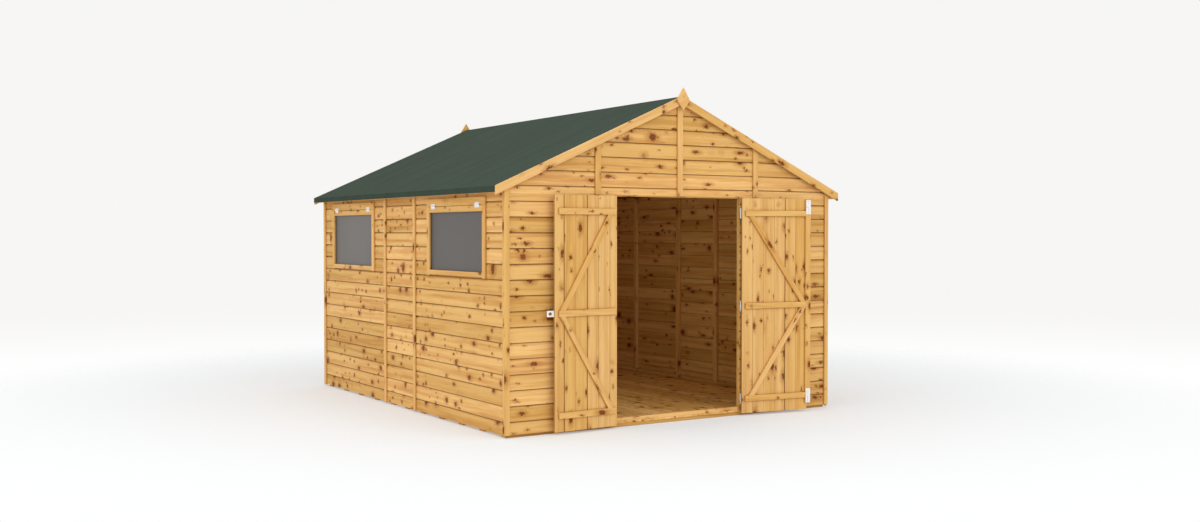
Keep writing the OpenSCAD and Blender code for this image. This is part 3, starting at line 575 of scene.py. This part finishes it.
def felt_finish(colours):
    """Mineral felt: fine grit with faint streaks along the sheet"""
    finish = Finish("green_mineral_felt")
    where = finish.where()
    grit = finish.noise(where, 900.0, 2.0, 0.8)
    streaks = finish.noise(finish.scaled(where, (0.7, 5.0, 0.7)), 1.6, 4.0, 0.6)
    clouds = finish.noise(where, 1.1, 3.0, 0.6)
    pale = tuple(c * 1.5 for c in colours.felt)
    colour = finish.blend(finish.ramp(streaks, 0.35, 0.7), colours.felt_dark, colours.felt)
    for mask, tint in ((finish.ramp(clouds, 0.4, 0.7), colours.felt), (finish.ramp(grit, 0.56, 0.75), pale)):
        colour = finish.blend(finish.maths("MULTIPLY", mask, 0.35), colour, tint)
    finish.set(base_color=colour, roughness=0.95, specular_ior_level=0.15)
    finish.bump(grit, 0.0012, 0.7)
    return finish.material


def pane_finish(colours):
    """Glazing with a grey cast and a soft gloss, with painted light that makes it paler towards the back of
    the shed
    """
    finish = Finish("grey_pane")
    where = finish.where()
    film = finish.noise(where, 1.2, 2.0, 0.5)
    darker, painted_lighter = (tuple(c * share for c in colours.pane) for share in (0.93, 1.33))
    colour = finish.blend(finish.ramp(film, 0.3, 0.7), darker, colours.pane)
    # Painted light: the pane is painted paler towards the back of the shed
    along = finish.node("ShaderNodeSeparateXYZ", {"Vector": where}).outputs["Y"]
    colour = finish.blend(finish.ramp(along, -0.2, 0.9), colour, painted_lighter)
    finish.set(base_color=colour, roughness=finish.ramp(film, 0.3, 0.7, 0.42, 0.5), specular_ior_level=0.3)
    return finish.material


def metal_finish(name, colour, metallic, rough):
    """Plated or coated steel with fine scuffs"""
    finish = Finish(name)
    where = finish.where()
    spangle = finish.noise(where, 160.0, 3.0, 0.7)
    scuffs = finish.noise(finish.scaled(where, (60.0, 60.0, 900.0)), 1.0, 2.0)
    dull = tuple(c * 0.8 for c in colour)
    finish.set(base_color=finish.blend(finish.ramp(spangle, 0.35, 0.7), dull, colour), metallic=metallic,
               roughness=finish.ramp(scuffs, 0.3, 0.75, rough - 0.08, rough + 0.12))
    finish.bump(scuffs, 0.0001, 0.4)
    return finish.material


# Each wood's material, and how it differs: share of knots, shade, roughness, saw marks, spread of the boards'
# tones, strength of the growth rings, painted shade in the corners and height of the knots
WOODS = {
    "cladding": ("honey_pine_cladding", dict(knots=0.64, spread=0.16, corners=0.35)),
    "window_wall": ("honey_pine_window_wall", dict(knots=0.62, spread=0.16, corners=0.35, tall=1.4)),
    "sheltered": ("honey_pine_sheltered_cladding", dict(knots=0.44, spread=0.16, corners=0.35)),
    "doors": ("honey_pine_door_boards", dict(knots=0.55, shade=0.93, spread=0.05, figure=0.65, corners=0.85)),
    "trim": ("honey_pine_trim", dict(knots=0.5, shade=0.955, spread=0.06, figure=0.6)),
    "framing": ("sawn_pine_framing", dict(knots=0.35, rough=0.75, saw=0.6, spread=0.08)),
    "bearers": ("sawn_pine_bearers", dict(knots=0.2, shade=0.8, rough=0.75, saw=0.6, spread=0.05)),
    "boards": ("pine_floor_and_roof_boards", dict(knots=0.75, shade=1.1, rough=0.7, saw=0.3, tall=1.6)),
}
FINISHES = {}


def finishes():
    """The materials by name, made once from the settings"""
    if not FINISHES:
        scene = bpy.context.scene
        colours = scene.shed_finish
        for key, (name, looks) in WOODS.items():
            FINISHES[key] = pine(name, scene.shed_timber, **looks)
        FINISHES["felt"] = felt_finish(colours)
        FINISHES["pane"] = pane_finish(colours)
        FINISHES["zinc"] = metal_finish("zinc_plate", tuple(colours.zinc), 0.9, 0.4)
        FINISHES["white_metal"] = metal_finish("pale_coated_steel", tuple(colours.white_metal), 0.0, 0.6)
    return FINISHES


# Places on the walls and of the solids

def node_points(node):
    """The places of a CAD node's points"""
    return [vert.co for vert in frame["nodes"][node].data.vertices]


def solid_points(node, turn=Matrix()):
    """The places of the points of each separate solid of a CAD node, after a turn"""
    for solid in loose_solids(node):
        yield [turn @ vert.co for vert in solid.verts]
        solid.free()


def extent(points):
    """The lowest and the highest corner of some points"""
    return [[pick(co[k] for co in points) for k in range(3)] for pick in (min, max)]


def wall_place(axis, face, inward):
    """Places (along, depth, height) on a wall whose outer face stands at one X (axis 0) or Y (axis 1)"""
    def place(along, depth, height):
        spot = Vector((along, along, height))
        spot[axis] = face + inward * depth
        return spot
    return place


def level(value):
    """A wall end that stands upright at one place"""
    return lambda z: value


def roof_line():
    """Height of the walls' top at the ridge and the roof's slope, read from the back wall"""
    points = node_points("back_wall")
    half, _, ridge = extent(points)[1]
    shoulder = max(co.z for co in points if co.x > half - NEAR)
    return ridge, (ridge - shoulder) / half


def window_hole(node):
    """Ends and levels of the window's opening in a wall panel"""
    low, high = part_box(node)
    inner = [co for co in node_points(node) if all(low[k] + NEAR < co[k] < high[k] - NEAR for k in (1, 2))]
    low, high = extent(inner)
    return low[1], high[1], low[2], high[2]


# Operators: one for each group of like pieces, and one for the stage

class SHED_OT_front_cladding(bpy.types.Operator):
    """Shiplap boards of the front wall beside the doorway and over it"""

    bl_idname = "shed.front_cladding"
    bl_label = "Front Cladding"

    def execute(self, context):
        timber = context.scene.shed_timber
        wood = finishes()["cladding"]
        for node, seed in (("front_wall_left", 11), ("front_wall_right", 12)):
            stack = Stack(timber.seed + seed)
            shiplap(stack, timber, node, axis=1, inward=1)
            stack.object(node + "_boards", "shed", "cladding", wood, node)
        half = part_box("front_gable")[1][0]
        ridge, slope = roof_line()
        stack = Stack(timber.seed + 13)
        shiplap(stack, timber, "front_gable", axis=1, inward=1,
                start=lambda z: -min(half, (ridge - z) / slope),
                end=lambda z: min(half, (ridge - z) / slope),
                top=ridge - APEX_GAP, levels=(ridge - slope * half,))
        stack.object("front_gable_boards", "shed", "cladding", wood, "front_gable")
        return {"FINISHED"}


class SHED_OT_back_cladding(bpy.types.Operator):
    """Shiplap boards of the back wall, with joints behind the strips"""

    bl_idname = "shed.back_cladding"
    bl_label = "Back Cladding"

    def execute(self, context):
        timber = context.scene.shed_timber
        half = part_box("back_wall")[1][0]
        ridge, slope = roof_line()
        half_strip = 0.024
        seam = extent(node_points("gable_strips"))[1][0] - half_strip
        edges = (-half, -seam, 0.0, seam, half)
        stack = Stack(timber.seed + 21)
        for left, right in zip(edges, edges[1:]):
            top, shoulder = (ridge - slope * pick(abs(left), abs(right)) for pick in (min, max))
            shiplap(stack, timber, "back_wall", axis=1, inward=-1,
                    start=lambda z, left=left: max(left, -(ridge - z) / slope),
                    end=lambda z, right=right: min(right, (ridge - z) / slope),
                    top=top - APEX_GAP, levels=(shoulder,))
        stack.object("back_wall_boards", "shed", "cladding", finishes()["sheltered"], "back_wall")
        return {"FINISHED"}


class SHED_OT_side_cladding(bpy.types.Operator):
    """Shiplap boards of the side walls, cut round the windows"""

    bl_idname = "shed.side_cladding"
    bl_label = "Side Cladding"

    def execute(self, context):
        timber = context.scene.shed_timber
        woods = {"left": finishes()["window_wall"], "right": finishes()["sheltered"]}
        for number, panel in enumerate(("front", "middle", "back")):
            for side, inward in (("left", 1), ("right", -1)):
                node = side + "_wall_" + panel
                hole = window_hole(node) if side == "left" and panel != "middle" else None
                stack = Stack(timber.seed + 31 + number * 2 + (side == "right"))
                shiplap(stack, timber, node, axis=0, inward=inward, foot=timber.foot_gap, hole=hole)
                stack.object(node + "_boards", "shed", "cladding", woods[side], node)
        return {"FINISHED"}


class SHED_OT_trim(bpy.types.Operator):
    """Corner strips, seam strips, gable strips, bargeboards and finials"""

    bl_idname = "shed.trim"
    bl_label = "Outer Trim"

    def execute(self, context):
        timber = context.scene.shed_timber
        for node, seed, halves, fit in (("corner_strips", 41, False, None), ("side_strips", 42, False, None),
                                        ("gable_strips", 43, False, None), ("finials", 44, False, None),
                                        ("bargeboards_front", 51, True, None),
                                        ("bargeboards_back", 52, True, under_felt)):
            dressed(node, "_planed", "shed", "trim", finishes()["trim"], timber.seed + seed, timber.arris,
                    halves, fit)
        return {"FINISHED"}


def under_felt(solid):
    """Planes the top and the ends of the back bargeboards down, so that the felt laps over them"""
    planed, hem, top_band = 0.0055, 0.0032, 0.001
    top = max(vert.co.z for vert in solid.verts)
    reach = max(abs(vert.co.x) for vert in solid.verts)
    slope = (top - max(vert.co.z for vert in solid.verts if abs(vert.co.x) > reach - NEAR)) / reach
    for vert in solid.verts:
        if vert.co.z + slope * abs(vert.co.x) > top - top_band:
            vert.co.z -= planed
        if abs(vert.co.x) > reach - NEAR:
            vert.co.x *= 1 - hem / reach


class SHED_OT_framing(bpy.types.Operator):
    """Studs, rails, rafters, bearers, purlins and the threshold"""

    bl_idname = "shed.framing"
    bl_label = "Framing"

    def execute(self, context):
        timber = context.scene.shed_timber
        for number, node in enumerate(("front_studs", "back_studs", "side_studs", "wall_rails",
                                       "gable_rafters", "roof_rails", "floor_bearers", "threshold")):
            wood = finishes()["bearers" if node == "floor_bearers" else "framing"]
            dressed(node, "_sawn", "shed", "framing", wood, timber.seed + 61 + number, timber.arris)
        return {"FINISHED"}


class SHED_OT_floor(bpy.types.Operator):
    """Floor boards that run from the doorway to the back wall"""

    bl_idname = "shed.floor"
    bl_label = "Floor Boards"

    def execute(self, context):
        timber = context.scene.shed_timber
        low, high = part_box("floor_boards")
        stack = Stack(timber.seed + 71)
        count = round((high[0] - low[0]) / timber.floor_cover)
        width = (high[0] - low[0]) / count
        for i in range(count):
            x = low[0] + i * width
            box_timber(stack, (x, low[1], low[2]), (x + width, high[1], high[2]), 1, timber.arris)
        stack.object("floor_boards_laid", "shed", "boards", finishes()["boards"], "floor_boards")
        return {"FINISHED"}


class SHED_OT_roof(bpy.types.Operator):
    """Roof boards under the felt, and the felt with its turned-down hems"""

    bl_idname = "shed.roof"
    bl_label = "Roof"

    def execute(self, context):
        timber = context.scene.shed_timber
        for side, node in ((-1, "roof_boards_left"), (1, "roof_boards_right")):
            points = node_points(node)
            low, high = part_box(node)
            top = max(co.z for co in points)
            reach = max(abs(low[0]), abs(high[0]))
            edge_top = max(co.z for co in points if abs(co.x) > reach - NEAR)
            thick, slope = edge_top - low[2], (top - edge_top) / reach
            stack = Stack(timber.seed + 81 + (side > 0))
            count = round(reach * math.hypot(1, slope) / timber.floor_cover)
            for i in range(count):
                near, far = reach * i / count, reach * (i + 1) / count
                section = [(near, top - slope * near), (far, top - slope * far),
                           (far, top - thick - slope * far), (near, top - thick - slope * near)]
                roof_board(stack, [(side * x, z) for x, z in section], (low[1], high[1]), timber.arris)
            stack.object(node + "_laid", "shed", "boards", finishes()["boards"], node)
        felt_roof(finishes()["felt"])
        return {"FINISHED"}


def roof_board(stack, section, ends, arris):
    """One roof board with a section of four (X, Z) corners, between two places along Y"""
    solid = bmesh.new()
    verts = [solid.verts.new((x, y, z)) for y in ends for x, z in section]
    for face in prism(4, 2):
        solid.faces.new([verts[i] for i in face])
    bmesh.ops.recalc_face_normals(solid, faces=solid.faces)
    timber_from(stack, solid, arris * LIGHT_ARRIS, Y)


def felt_roof(felt):
    """The felt: the solid's own sheet with softened hems, carried back over the back bargeboards"""
    hem_radius, short = 0.0008, 0.0002
    stack = Stack(1)
    back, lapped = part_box("roof_felt")[1][1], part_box("bargeboards_back")[1][1] - short
    for solid in loose_solids("roof_felt"):
        for vert in solid.verts:
            if vert.co.y > back - NEAR:
                vert.co.y = lapped
        soften(solid, hem_radius, 2, 20)
        stack.add_solid(solid, Y, X, (Vector((0, 0, 0)), 0.5))
    stack.object("roof_felt_sheet", "shed", "felt", felt, "roof_felt")


class SHED_OT_windows(bpy.types.Operator):
    """Window linings, sashes with stiles, rails and beads, and the panes"""

    bl_idname = "shed.windows"
    bl_label = "Windows"

    def execute(self, context):
        timber = context.scene.shed_timber
        looks = finishes()
        frames, sashes = Stack(timber.seed + 91), Stack(timber.seed + 92)
        plain_board = 8
        for solid in loose_solids("window_frames"):
            if len(solid.verts) <= plain_board:
                timber_from(frames, solid, timber.arris)
            else:
                lining_boards(frames, solid, timber.arris)
        for solid in loose_solids("window_sashes"):
            sash_boards(sashes, solid, timber.arris)
        frames.object("window_frames_planed", "shed", "trim", looks["trim"], "window_frames")
        sashes.object("window_sashes_joined", "shed", "trim", looks["trim"], "window_sashes")
        give_finish("window_panes", looks["pane"])
        return {"FINISHED"}


def give_finish(node, material):
    """Puts a material on a CAD node that keeps its shape"""
    mesh = frame["nodes"][node].data
    mesh.materials.clear()
    mesh.materials.append(material)


def spans(solid):
    """The different places of a solid's points along X, Y and Z, each in order"""
    return [sorted({round(vert.co[axis], 5) for vert in solid.verts}) for axis in range(3)]


def lining_boards(stack, solid, arris):
    """Four lining boards round a window's opening: sill and head, with the sides between them"""
    x, y, z = spans(solid)
    for low, high, way in (((y[0], z[0]), (y[-1], z[1]), 1), ((y[0], z[-2]), (y[-1], z[-1]), 1),
                           ((y[0], z[1]), (y[1], z[-2]), 2), ((y[-2], z[1]), (y[-1], z[-2]), 2)):
        box_timber(stack, (x[0], *low), (x[-1], *high), way, arris)
    solid.free()


def sash_boards(stack, solid, arris):
    """Face boards of one sash, and the bead behind them, as separate timbers"""
    x, y, z = spans(solid)
    foot_gap, head_gap = 0.006, 0.003
    # Each layer: its depth, its edges from outside to outside, how far its rails stand back, and its arris
    for depth, across, up, foot, head, planed in (
            (x[:2], (y[0], y[3], y[-4], y[-1]), (z[0], z[3], z[-4], z[-1]), foot_gap, head_gap, arris),
            ((x[1], x[-1]), (y[1], y[2], y[-3], y[-2]), (z[1], z[2], z[-3], z[-2]), 0.0, 0.0,
             arris * LIGHT_ARRIS)):
        for low, high, way in (((across[0], up[0]), (across[1], up[3]), 2),
                               ((across[2], up[0]), (across[3], up[3]), 2),
                               ((across[1], up[0] + foot), (across[2], up[1]), 1),
                               ((across[1], up[2]), (across[2], up[3] - head), 1)):
            box_timber(stack, (depth[0], *low), (depth[1], *high), way, planed)
    solid.free()


class SHED_OT_doors(bpy.types.Operator):
    """Boards, ledges, braces and cover strip of both doors"""

    bl_idname = "shed.doors"
    bl_label = "Doors"

    def execute(self, context):
        timber = context.scene.shed_timber
        looks = finishes()
        tight_joint, shrunk_joint = 0.001, 0.0036
        for side, name, shrunk in ((-1, "left_door", (3, 5)), (1, "right_door", (2,))):
            turn = swing(name)
            back = turn.inverted()
            low, high = extent([back @ co for co in node_points(name + "_boards")])
            stack = Stack(timber.seed + 101 + side)
            edges = door_joints(side, low[0], high[0], timber.door_cover)
            gaps = [shrunk_joint if number in shrunk else tight_joint for number in range(len(edges))]
            gaps[0] = gaps[-1] = 0.0
            for number, (left, right) in enumerate(zip(edges, edges[1:])):
                door_board(stack, left, right, low, high, turn, gaps[number], gaps[number + 1])
            stack.object(name + "_boards_joined", name, "cladding", looks["doors"], name + "_boards")
            for number, part in enumerate(("_ledges", "_braces", "_cover")[:3 if side > 0 else 2]):
                dressed(name + part, "_planed", name, "trim", looks["trim"],
                        timber.seed + 111 + number + 5 * (side > 0), timber.arris)
        return {"FINISHED"}


def door_joints(side, low, high, cover):
    """Places of the joints between door boards, with a narrow board at the free edge of the left door"""
    narrow, trimmed, least = 0.08, 0.98, 0.03
    place = high - narrow if side < 0 else high - cover * trimmed
    edges = [high]
    while place > low + least:
        edges.append(place)
        place -= cover
    return sorted(edges + [low])


def door_board(stack, left, right, low, high, turn, gap_left, gap_right):
    """One upright tongued board, with a V joint in front and a gap behind at each side, or a plain edge"""
    front, back = low[1], high[1]
    deep, arris, tongue, slack = 0.003, 0.0008, 0.004, 0.0002
    mid0, mid1 = front + 0.0045, front + 0.0078
    nick, nick_deep = 2 * slack, 0.0005
    right_face, left_face = right - slack, left + slack
    outline = [(left + (deep if gap_left else arris), front), (right - (deep if gap_right else arris), front)]
    if gap_right:
        outline += [(right_face, front + deep), (right_face, mid0), (right + tongue, mid0),
                    (right + tongue, mid1), (right_face, mid1), (right_face, back - gap_right),
                    (right - gap_right + nick, back - nick_deep)]
    else:
        outline += [(right, front + arris), (right, back - arris)]
    outline += [(right - (gap_right or arris), back), (left + (gap_left or arris), back)]
    if gap_left:
        groove = left + tongue + 2 * slack
        outline += [(left + gap_left - nick, back - nick_deep), (left_face, back - gap_left),
                    (left_face, mid1 + slack), (groove, mid1 + slack), (groove, mid0 - slack),
                    (left_face, mid0 - slack), (left_face, front + deep)]
    else:
        outline += [(left, back - arris), (left, front + arris)]
    points = [turn @ Vector((x, y, z)) for z in (low[2], high[2]) for x, y in outline]
    # Joint stain with painted shade on the sides of the V joints, tongues and gaps; the front and back faces
    # stay clean
    front_clean, back_clean = 0.001, 0.0004
    stain_and_shade = [1.0 if front + front_clean < y < back - back_clean else 0.0 for _, y in outline] * 2
    stack.add(points, prism(len(outline), 2), Z, turn.to_3x3() @ X, stack.tree(), stain_and_shade)


def heads(name, body, places, radius, material):
    """Low domed heads of screws or nails, each at a place on a face that looks along a direction"""
    sides = 8
    # Radius and rise of a head's rings, as shares of the head's radius
    rings = ((1.0, -0.1), (1.0, 0.12), (0.6, 0.34))
    points, faces = [], []
    for place, out in places:
        turn = out.to_track_quat("Z", "Y")
        first = len(points)
        for ring, rise in rings:
            for i in range(sides):
                angle = 2 * math.pi * i / sides
                flat = Vector((math.cos(angle) * ring, math.sin(angle) * ring, rise)) * radius
                points.append(place + turn @ flat)
        faces += [[first + i for i in face] for face in prism(sides, len(rings))]
    made = new_object(name, points, faces, material)
    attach(made, body)


class SHED_OT_nails(bpy.types.Operator):
    """Nails of the shiplap boards, one in each board over each stud"""

    bl_idname = "shed.nails"
    bl_label = "Nails"

    def execute(self, context):
        timber = context.scene.shed_timber
        chance = random.Random(timber.seed)
        stray, stray_up, wall_end, widest_stud, under_roof = 0.004, 0.003, 0.02, 0.1, 0.02
        places = []
        holes = [window_hole("left_wall_front"), window_hole("left_wall_back")]
        for points in solid_points("side_studs"):
            low, high = extent(points)
            side, wall = (1, "right_wall_front") if low[0] > 0 else (-1, "left_wall_front")
            foot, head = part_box(wall)
            face = head[0] if side > 0 else foot[0]
            for z in nail_levels(timber, foot[2], head[2]):
                along = (low[1] + high[1]) / 2 + chance.uniform(-stray, stray)
                if side < 0 and any(a < along < b and c < z < d for a, b, c, d in holes):
                    continue
                spot = Vector((face, along, z + chance.uniform(-stray_up, stray_up)))
                places.append((spot, Vector((side, 0, 0))))
        ridge, slope = roof_line()
        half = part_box("back_wall")[1][0]
        for node, face, way in (("front_studs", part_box("front_gable")[0][1], -1),
                                ("back_studs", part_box("back_wall")[1][1], 1)):
            for points in solid_points(node):
                low, high = extent(points)
                middle = (low[0] + high[0]) / 2
                if abs(middle) < half - wall_end and high[0] - low[0] < widest_stud:
                    top = min(high[2], ridge - slope * abs(middle) - under_roof)
                    for height in nail_levels(timber, low[2], top):
                        spot = Vector((middle + chance.uniform(-stray, stray), face, height))
                        places.append((spot, Vector((0, way, 0))))
        heads("cladding_nails", "shed", places, context.scene.shed_finish.nail_radius, finishes()["zinc"])
        return {"FINISHED"}


def nail_levels(timber, low, high):
    """Heights of the nails: one above each joint line, clear of the lip and of the wall's ends"""
    over_joint, rows, clear = 0.3, 40, 0.01
    first = math.ceil((low - timber.joint_level) / timber.cover)
    levels = [timber.joint_level + row * timber.cover + timber.cover * over_joint
              for row in range(first, first + rows)]
    return [z for z in levels if low + clear < z < high - clear]


class SHED_OT_ironmongery(bpy.types.Operator):
    """Finishes of the hinges, bolts, hasp and staple, and their screws"""

    bl_idname = "shed.ironmongery"
    bl_label = "Ironmongery"

    def execute(self, context):
        looks = finishes()
        for node, look in (("window_hinges", "white_metal"), ("jamb_hinges", "zinc"),
                           ("left_door_hinges", "zinc"), ("right_door_hinges", "zinc"),
                           ("left_door_hasp", "white_metal"), ("right_door_bolts", "white_metal"),
                           ("right_door_staple", "zinc")):
            give_finish(node, looks[look])
        radius = context.scene.shed_finish.screw_radius
        for side, name in ((-1, "left_door"), (1, "right_door")):
            heads(name + "_hinge_screws", name, strap_screws(side, name), radius, looks["zinc"])
        places = corner_screws("right_door_bolts", thin=1, sunk=0.002, across=0.16, up=0.1, out=Y,
                               turn=swing("right_door"))
        heads("right_door_bolt_screws", "right_door", places, radius * SMALL_SCREW, looks["zinc"])
        places = corner_screws("window_hinges", thin=0, sunk=0.0005, across=0.22, up=0.15,
                               out=Vector((-1, 0, 0)), turn=Matrix())
        heads("window_hinge_screws", "shed", places, radius * SMALL_SCREW, looks["zinc"])
        return {"FINISHED"}


def strap_screws(side, name):
    """Three screws along each strap hinge of a door"""
    turn = swing(name)
    outward = turn.to_3x3() @ Vector((0, -1, 0))
    tip_length = 0.03
    places = []
    for points in solid_points(name + "_hinges", turn.inverted()):
        low, high = extent(points)
        root, tip = (high[0], low[0]) if side > 0 else (low[0], high[0])
        face = min(co.y for co in points if abs(co.x - tip) < tip_length)
        for share in (0.3, 0.6, 0.9):
            spot = Vector((root + (tip - root) * share, face, (low[2] + high[2]) / 2))
            places.append((turn @ spot, outward))
    return places


def corner_screws(node, thin, sunk, across, up, out, turn):
    """A screw at shares across and up from each corner of a node's plates, which are thin along an axis"""
    places = []
    for points in solid_points(node, turn.inverted()):
        low, high = extent(points)
        for wide in (across, 1 - across):
            for tall in (up, 1 - up):
                shares = Vector((wide, wide, tall))
                spot = Vector([low[k] + (high[k] - low[k]) * shares[k] for k in range(3)])
                spot[thin] = low[thin] + sunk
                places.append((turn @ spot, turn.to_3x3() @ out))
    return places


class SHED_OT_stage(bpy.types.Operator):
    """Pale floor, soft lights and the camera"""

    bl_idname = "shed.stage"
    bl_label = "Stage"

    def execute(self, context):
        stage = context.scene.shed_stage
        scene = context.scene
        scene.view_settings.view_transform = "Standard"
        backdrop_world(scene, stage)
        floor = pale_floor()
        floor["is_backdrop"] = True
        white, greenish = (1.0, 1.0, 1.0), (0.88, 1.0, 0.82)
        for name, power, size, place, aim, colour in (
                ("front_lamp", stage.key, 6.0, (1.5, -9.5, 5.5), (0.0, 0.0, 1.2), white),
                ("left_lamp", stage.fill, 6.0, (-9.5, -2.5, 3.9), (0.0, 0.0, 1.0), white),
                ("doorway_lamp", stage.doorway, 3.0, (-2.5, -8.0, 1.9), (0.3, 0.0, 0.8), white),
                ("top_lamp", stage.top, 7.0, (-2.0, -1.0, 8.0), (-0.5, -0.5, 0.0), white),
                ("room_lamp", stage.room, 0.8, (-0.4, -0.4, 1.7), (0.9, -0.2, -0.3), greenish)):
            lamp = bpy.data.lights.new(name, "AREA")
            lamp.energy, lamp.size, lamp.color = power, size, colour
            turn = (Vector(aim) - Vector(place)).to_track_quat("-Z", "Y").to_euler()
            stand(name, lamp, place, turn).visible_camera = False
        camera = bpy.data.cameras.new("camera")
        camera.lens, camera.sensor_width, camera.sensor_fit = stage.focal, 36.0, "HORIZONTAL"
        camera.clip_end = 200.0
        turn = (math.radians(90 - CAMERA_DIP), 0.0, math.radians(CAMERA_HEADING))
        scene.camera = stand("camera", camera, CAMERA_PLACE, turn)
        return {"FINISHED"}


def stand(name, data, place, turn):
    """A lamp or camera at its place in the scene"""
    made = bpy.data.objects.new(name, data)
    made.location, made.rotation_euler = place, turn
    bpy.context.scene.collection.objects.link(made)
    return made


def backdrop_world(scene, stage):
    """An even light from all round, and the backdrop's colour where it is seen or mirrored"""
    world = bpy.data.worlds.new("studio")
    scene.world = world
    tree = Tree(world)
    light = tree.nodes["Background"]
    light.inputs["Color"].default_value = (1.0, 1.0, 1.0, 1.0)
    light.inputs["Strength"].default_value = stage.sky
    way = tree.node("ShaderNodeTexCoord").outputs["Generated"]
    height = tree.node("ShaderNodeSeparateXYZ", {0: way}).outputs["Z"]
    horizon, ground = -0.055, -0.105
    fall = tree.ramp(height, horizon, ground)
    seen = tree.node("ShaderNodeBackground", {"Color": tree.blend(fall, stage.backdrop, stage.foot)})
    path = tree.node("ShaderNodeLightPath").outputs
    either = tree.maths("MAXIMUM", path["Is Camera Ray"], path["Is Glossy Ray"])
    tree.surface("World Output", tree.maths("MAXIMUM", either, path["Is Transmission Ray"]), light, seen)


def pale_floor():
    """A pale floor that fades into the backdrop away from the shed"""
    size, below, fades_from, gone_by = 40.0, -0.001, 3.0, 6.5
    finish = Finish("pale_floor")
    finish.set(base_color=(0.62, 0.635, 0.645), roughness=1.0, specular_ior_level=0.0,
               emission_strength=0.265)
    distance = finish.vector("LENGTH", finish.where(), output="Value")
    fade = finish.ramp(distance, fades_from, gone_by)
    clear = finish.node("ShaderNodeBsdfTransparent")
    finish.surface("Material Output", fade, finish.shader, clear)
    corners = [(x * size, y * size, below) for x, y in ((-1, -1), (1, -1), (1, 1), (-1, 1))]
    return new_object("floor", corners, [(0, 1, 2, 3)], finish.material)


class SHED_PT_panel(bpy.types.Panel):
    """Lists the shed's settings and pieces"""

    bl_idname = "SHED_PT_panel"
    bl_label = "Workshop Shed"
    bl_space_type = "VIEW_3D"
    bl_region_type = "UI"
    bl_category = "Shed"

    def draw(self, context):
        for name, group in SETTINGS:
            settings = getattr(context.scene, name)
            for prop in group.__annotations__:
                self.layout.prop(settings, prop)
        for operator in STEPS:
            self.layout.operator(operator.bl_idname)


STEPS = (SHED_OT_front_cladding, SHED_OT_back_cladding, SHED_OT_side_cladding, SHED_OT_trim, SHED_OT_framing,
         SHED_OT_floor, SHED_OT_roof, SHED_OT_windows, SHED_OT_doors, SHED_OT_ironmongery, SHED_OT_nails,
         SHED_OT_stage)
CLASSES = (ShedTimber, ShedFinish, ShedStage, *STEPS, SHED_PT_panel)


def register():
    for cls in CLASSES:
        bpy.utils.register_class(cls)
    for name, group in SETTINGS:
        setattr(bpy.types.Scene, name, PointerProperty(type=group))


def unregister():
    for name, _ in SETTINGS:
        delattr(bpy.types.Scene, name)
    for cls in reversed(CLASSES):
        bpy.utils.unregister_class(cls)


def main():
    register()
    for operator in STEPS:
        group, name = operator.bl_idname.split(".")
        getattr(getattr(bpy.ops, group), name)()
    as_lists = [[[float(value) for value in corner] for corner in box] for box in (CAD_BOX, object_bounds())]


if __name__ == "__main__":
    main()
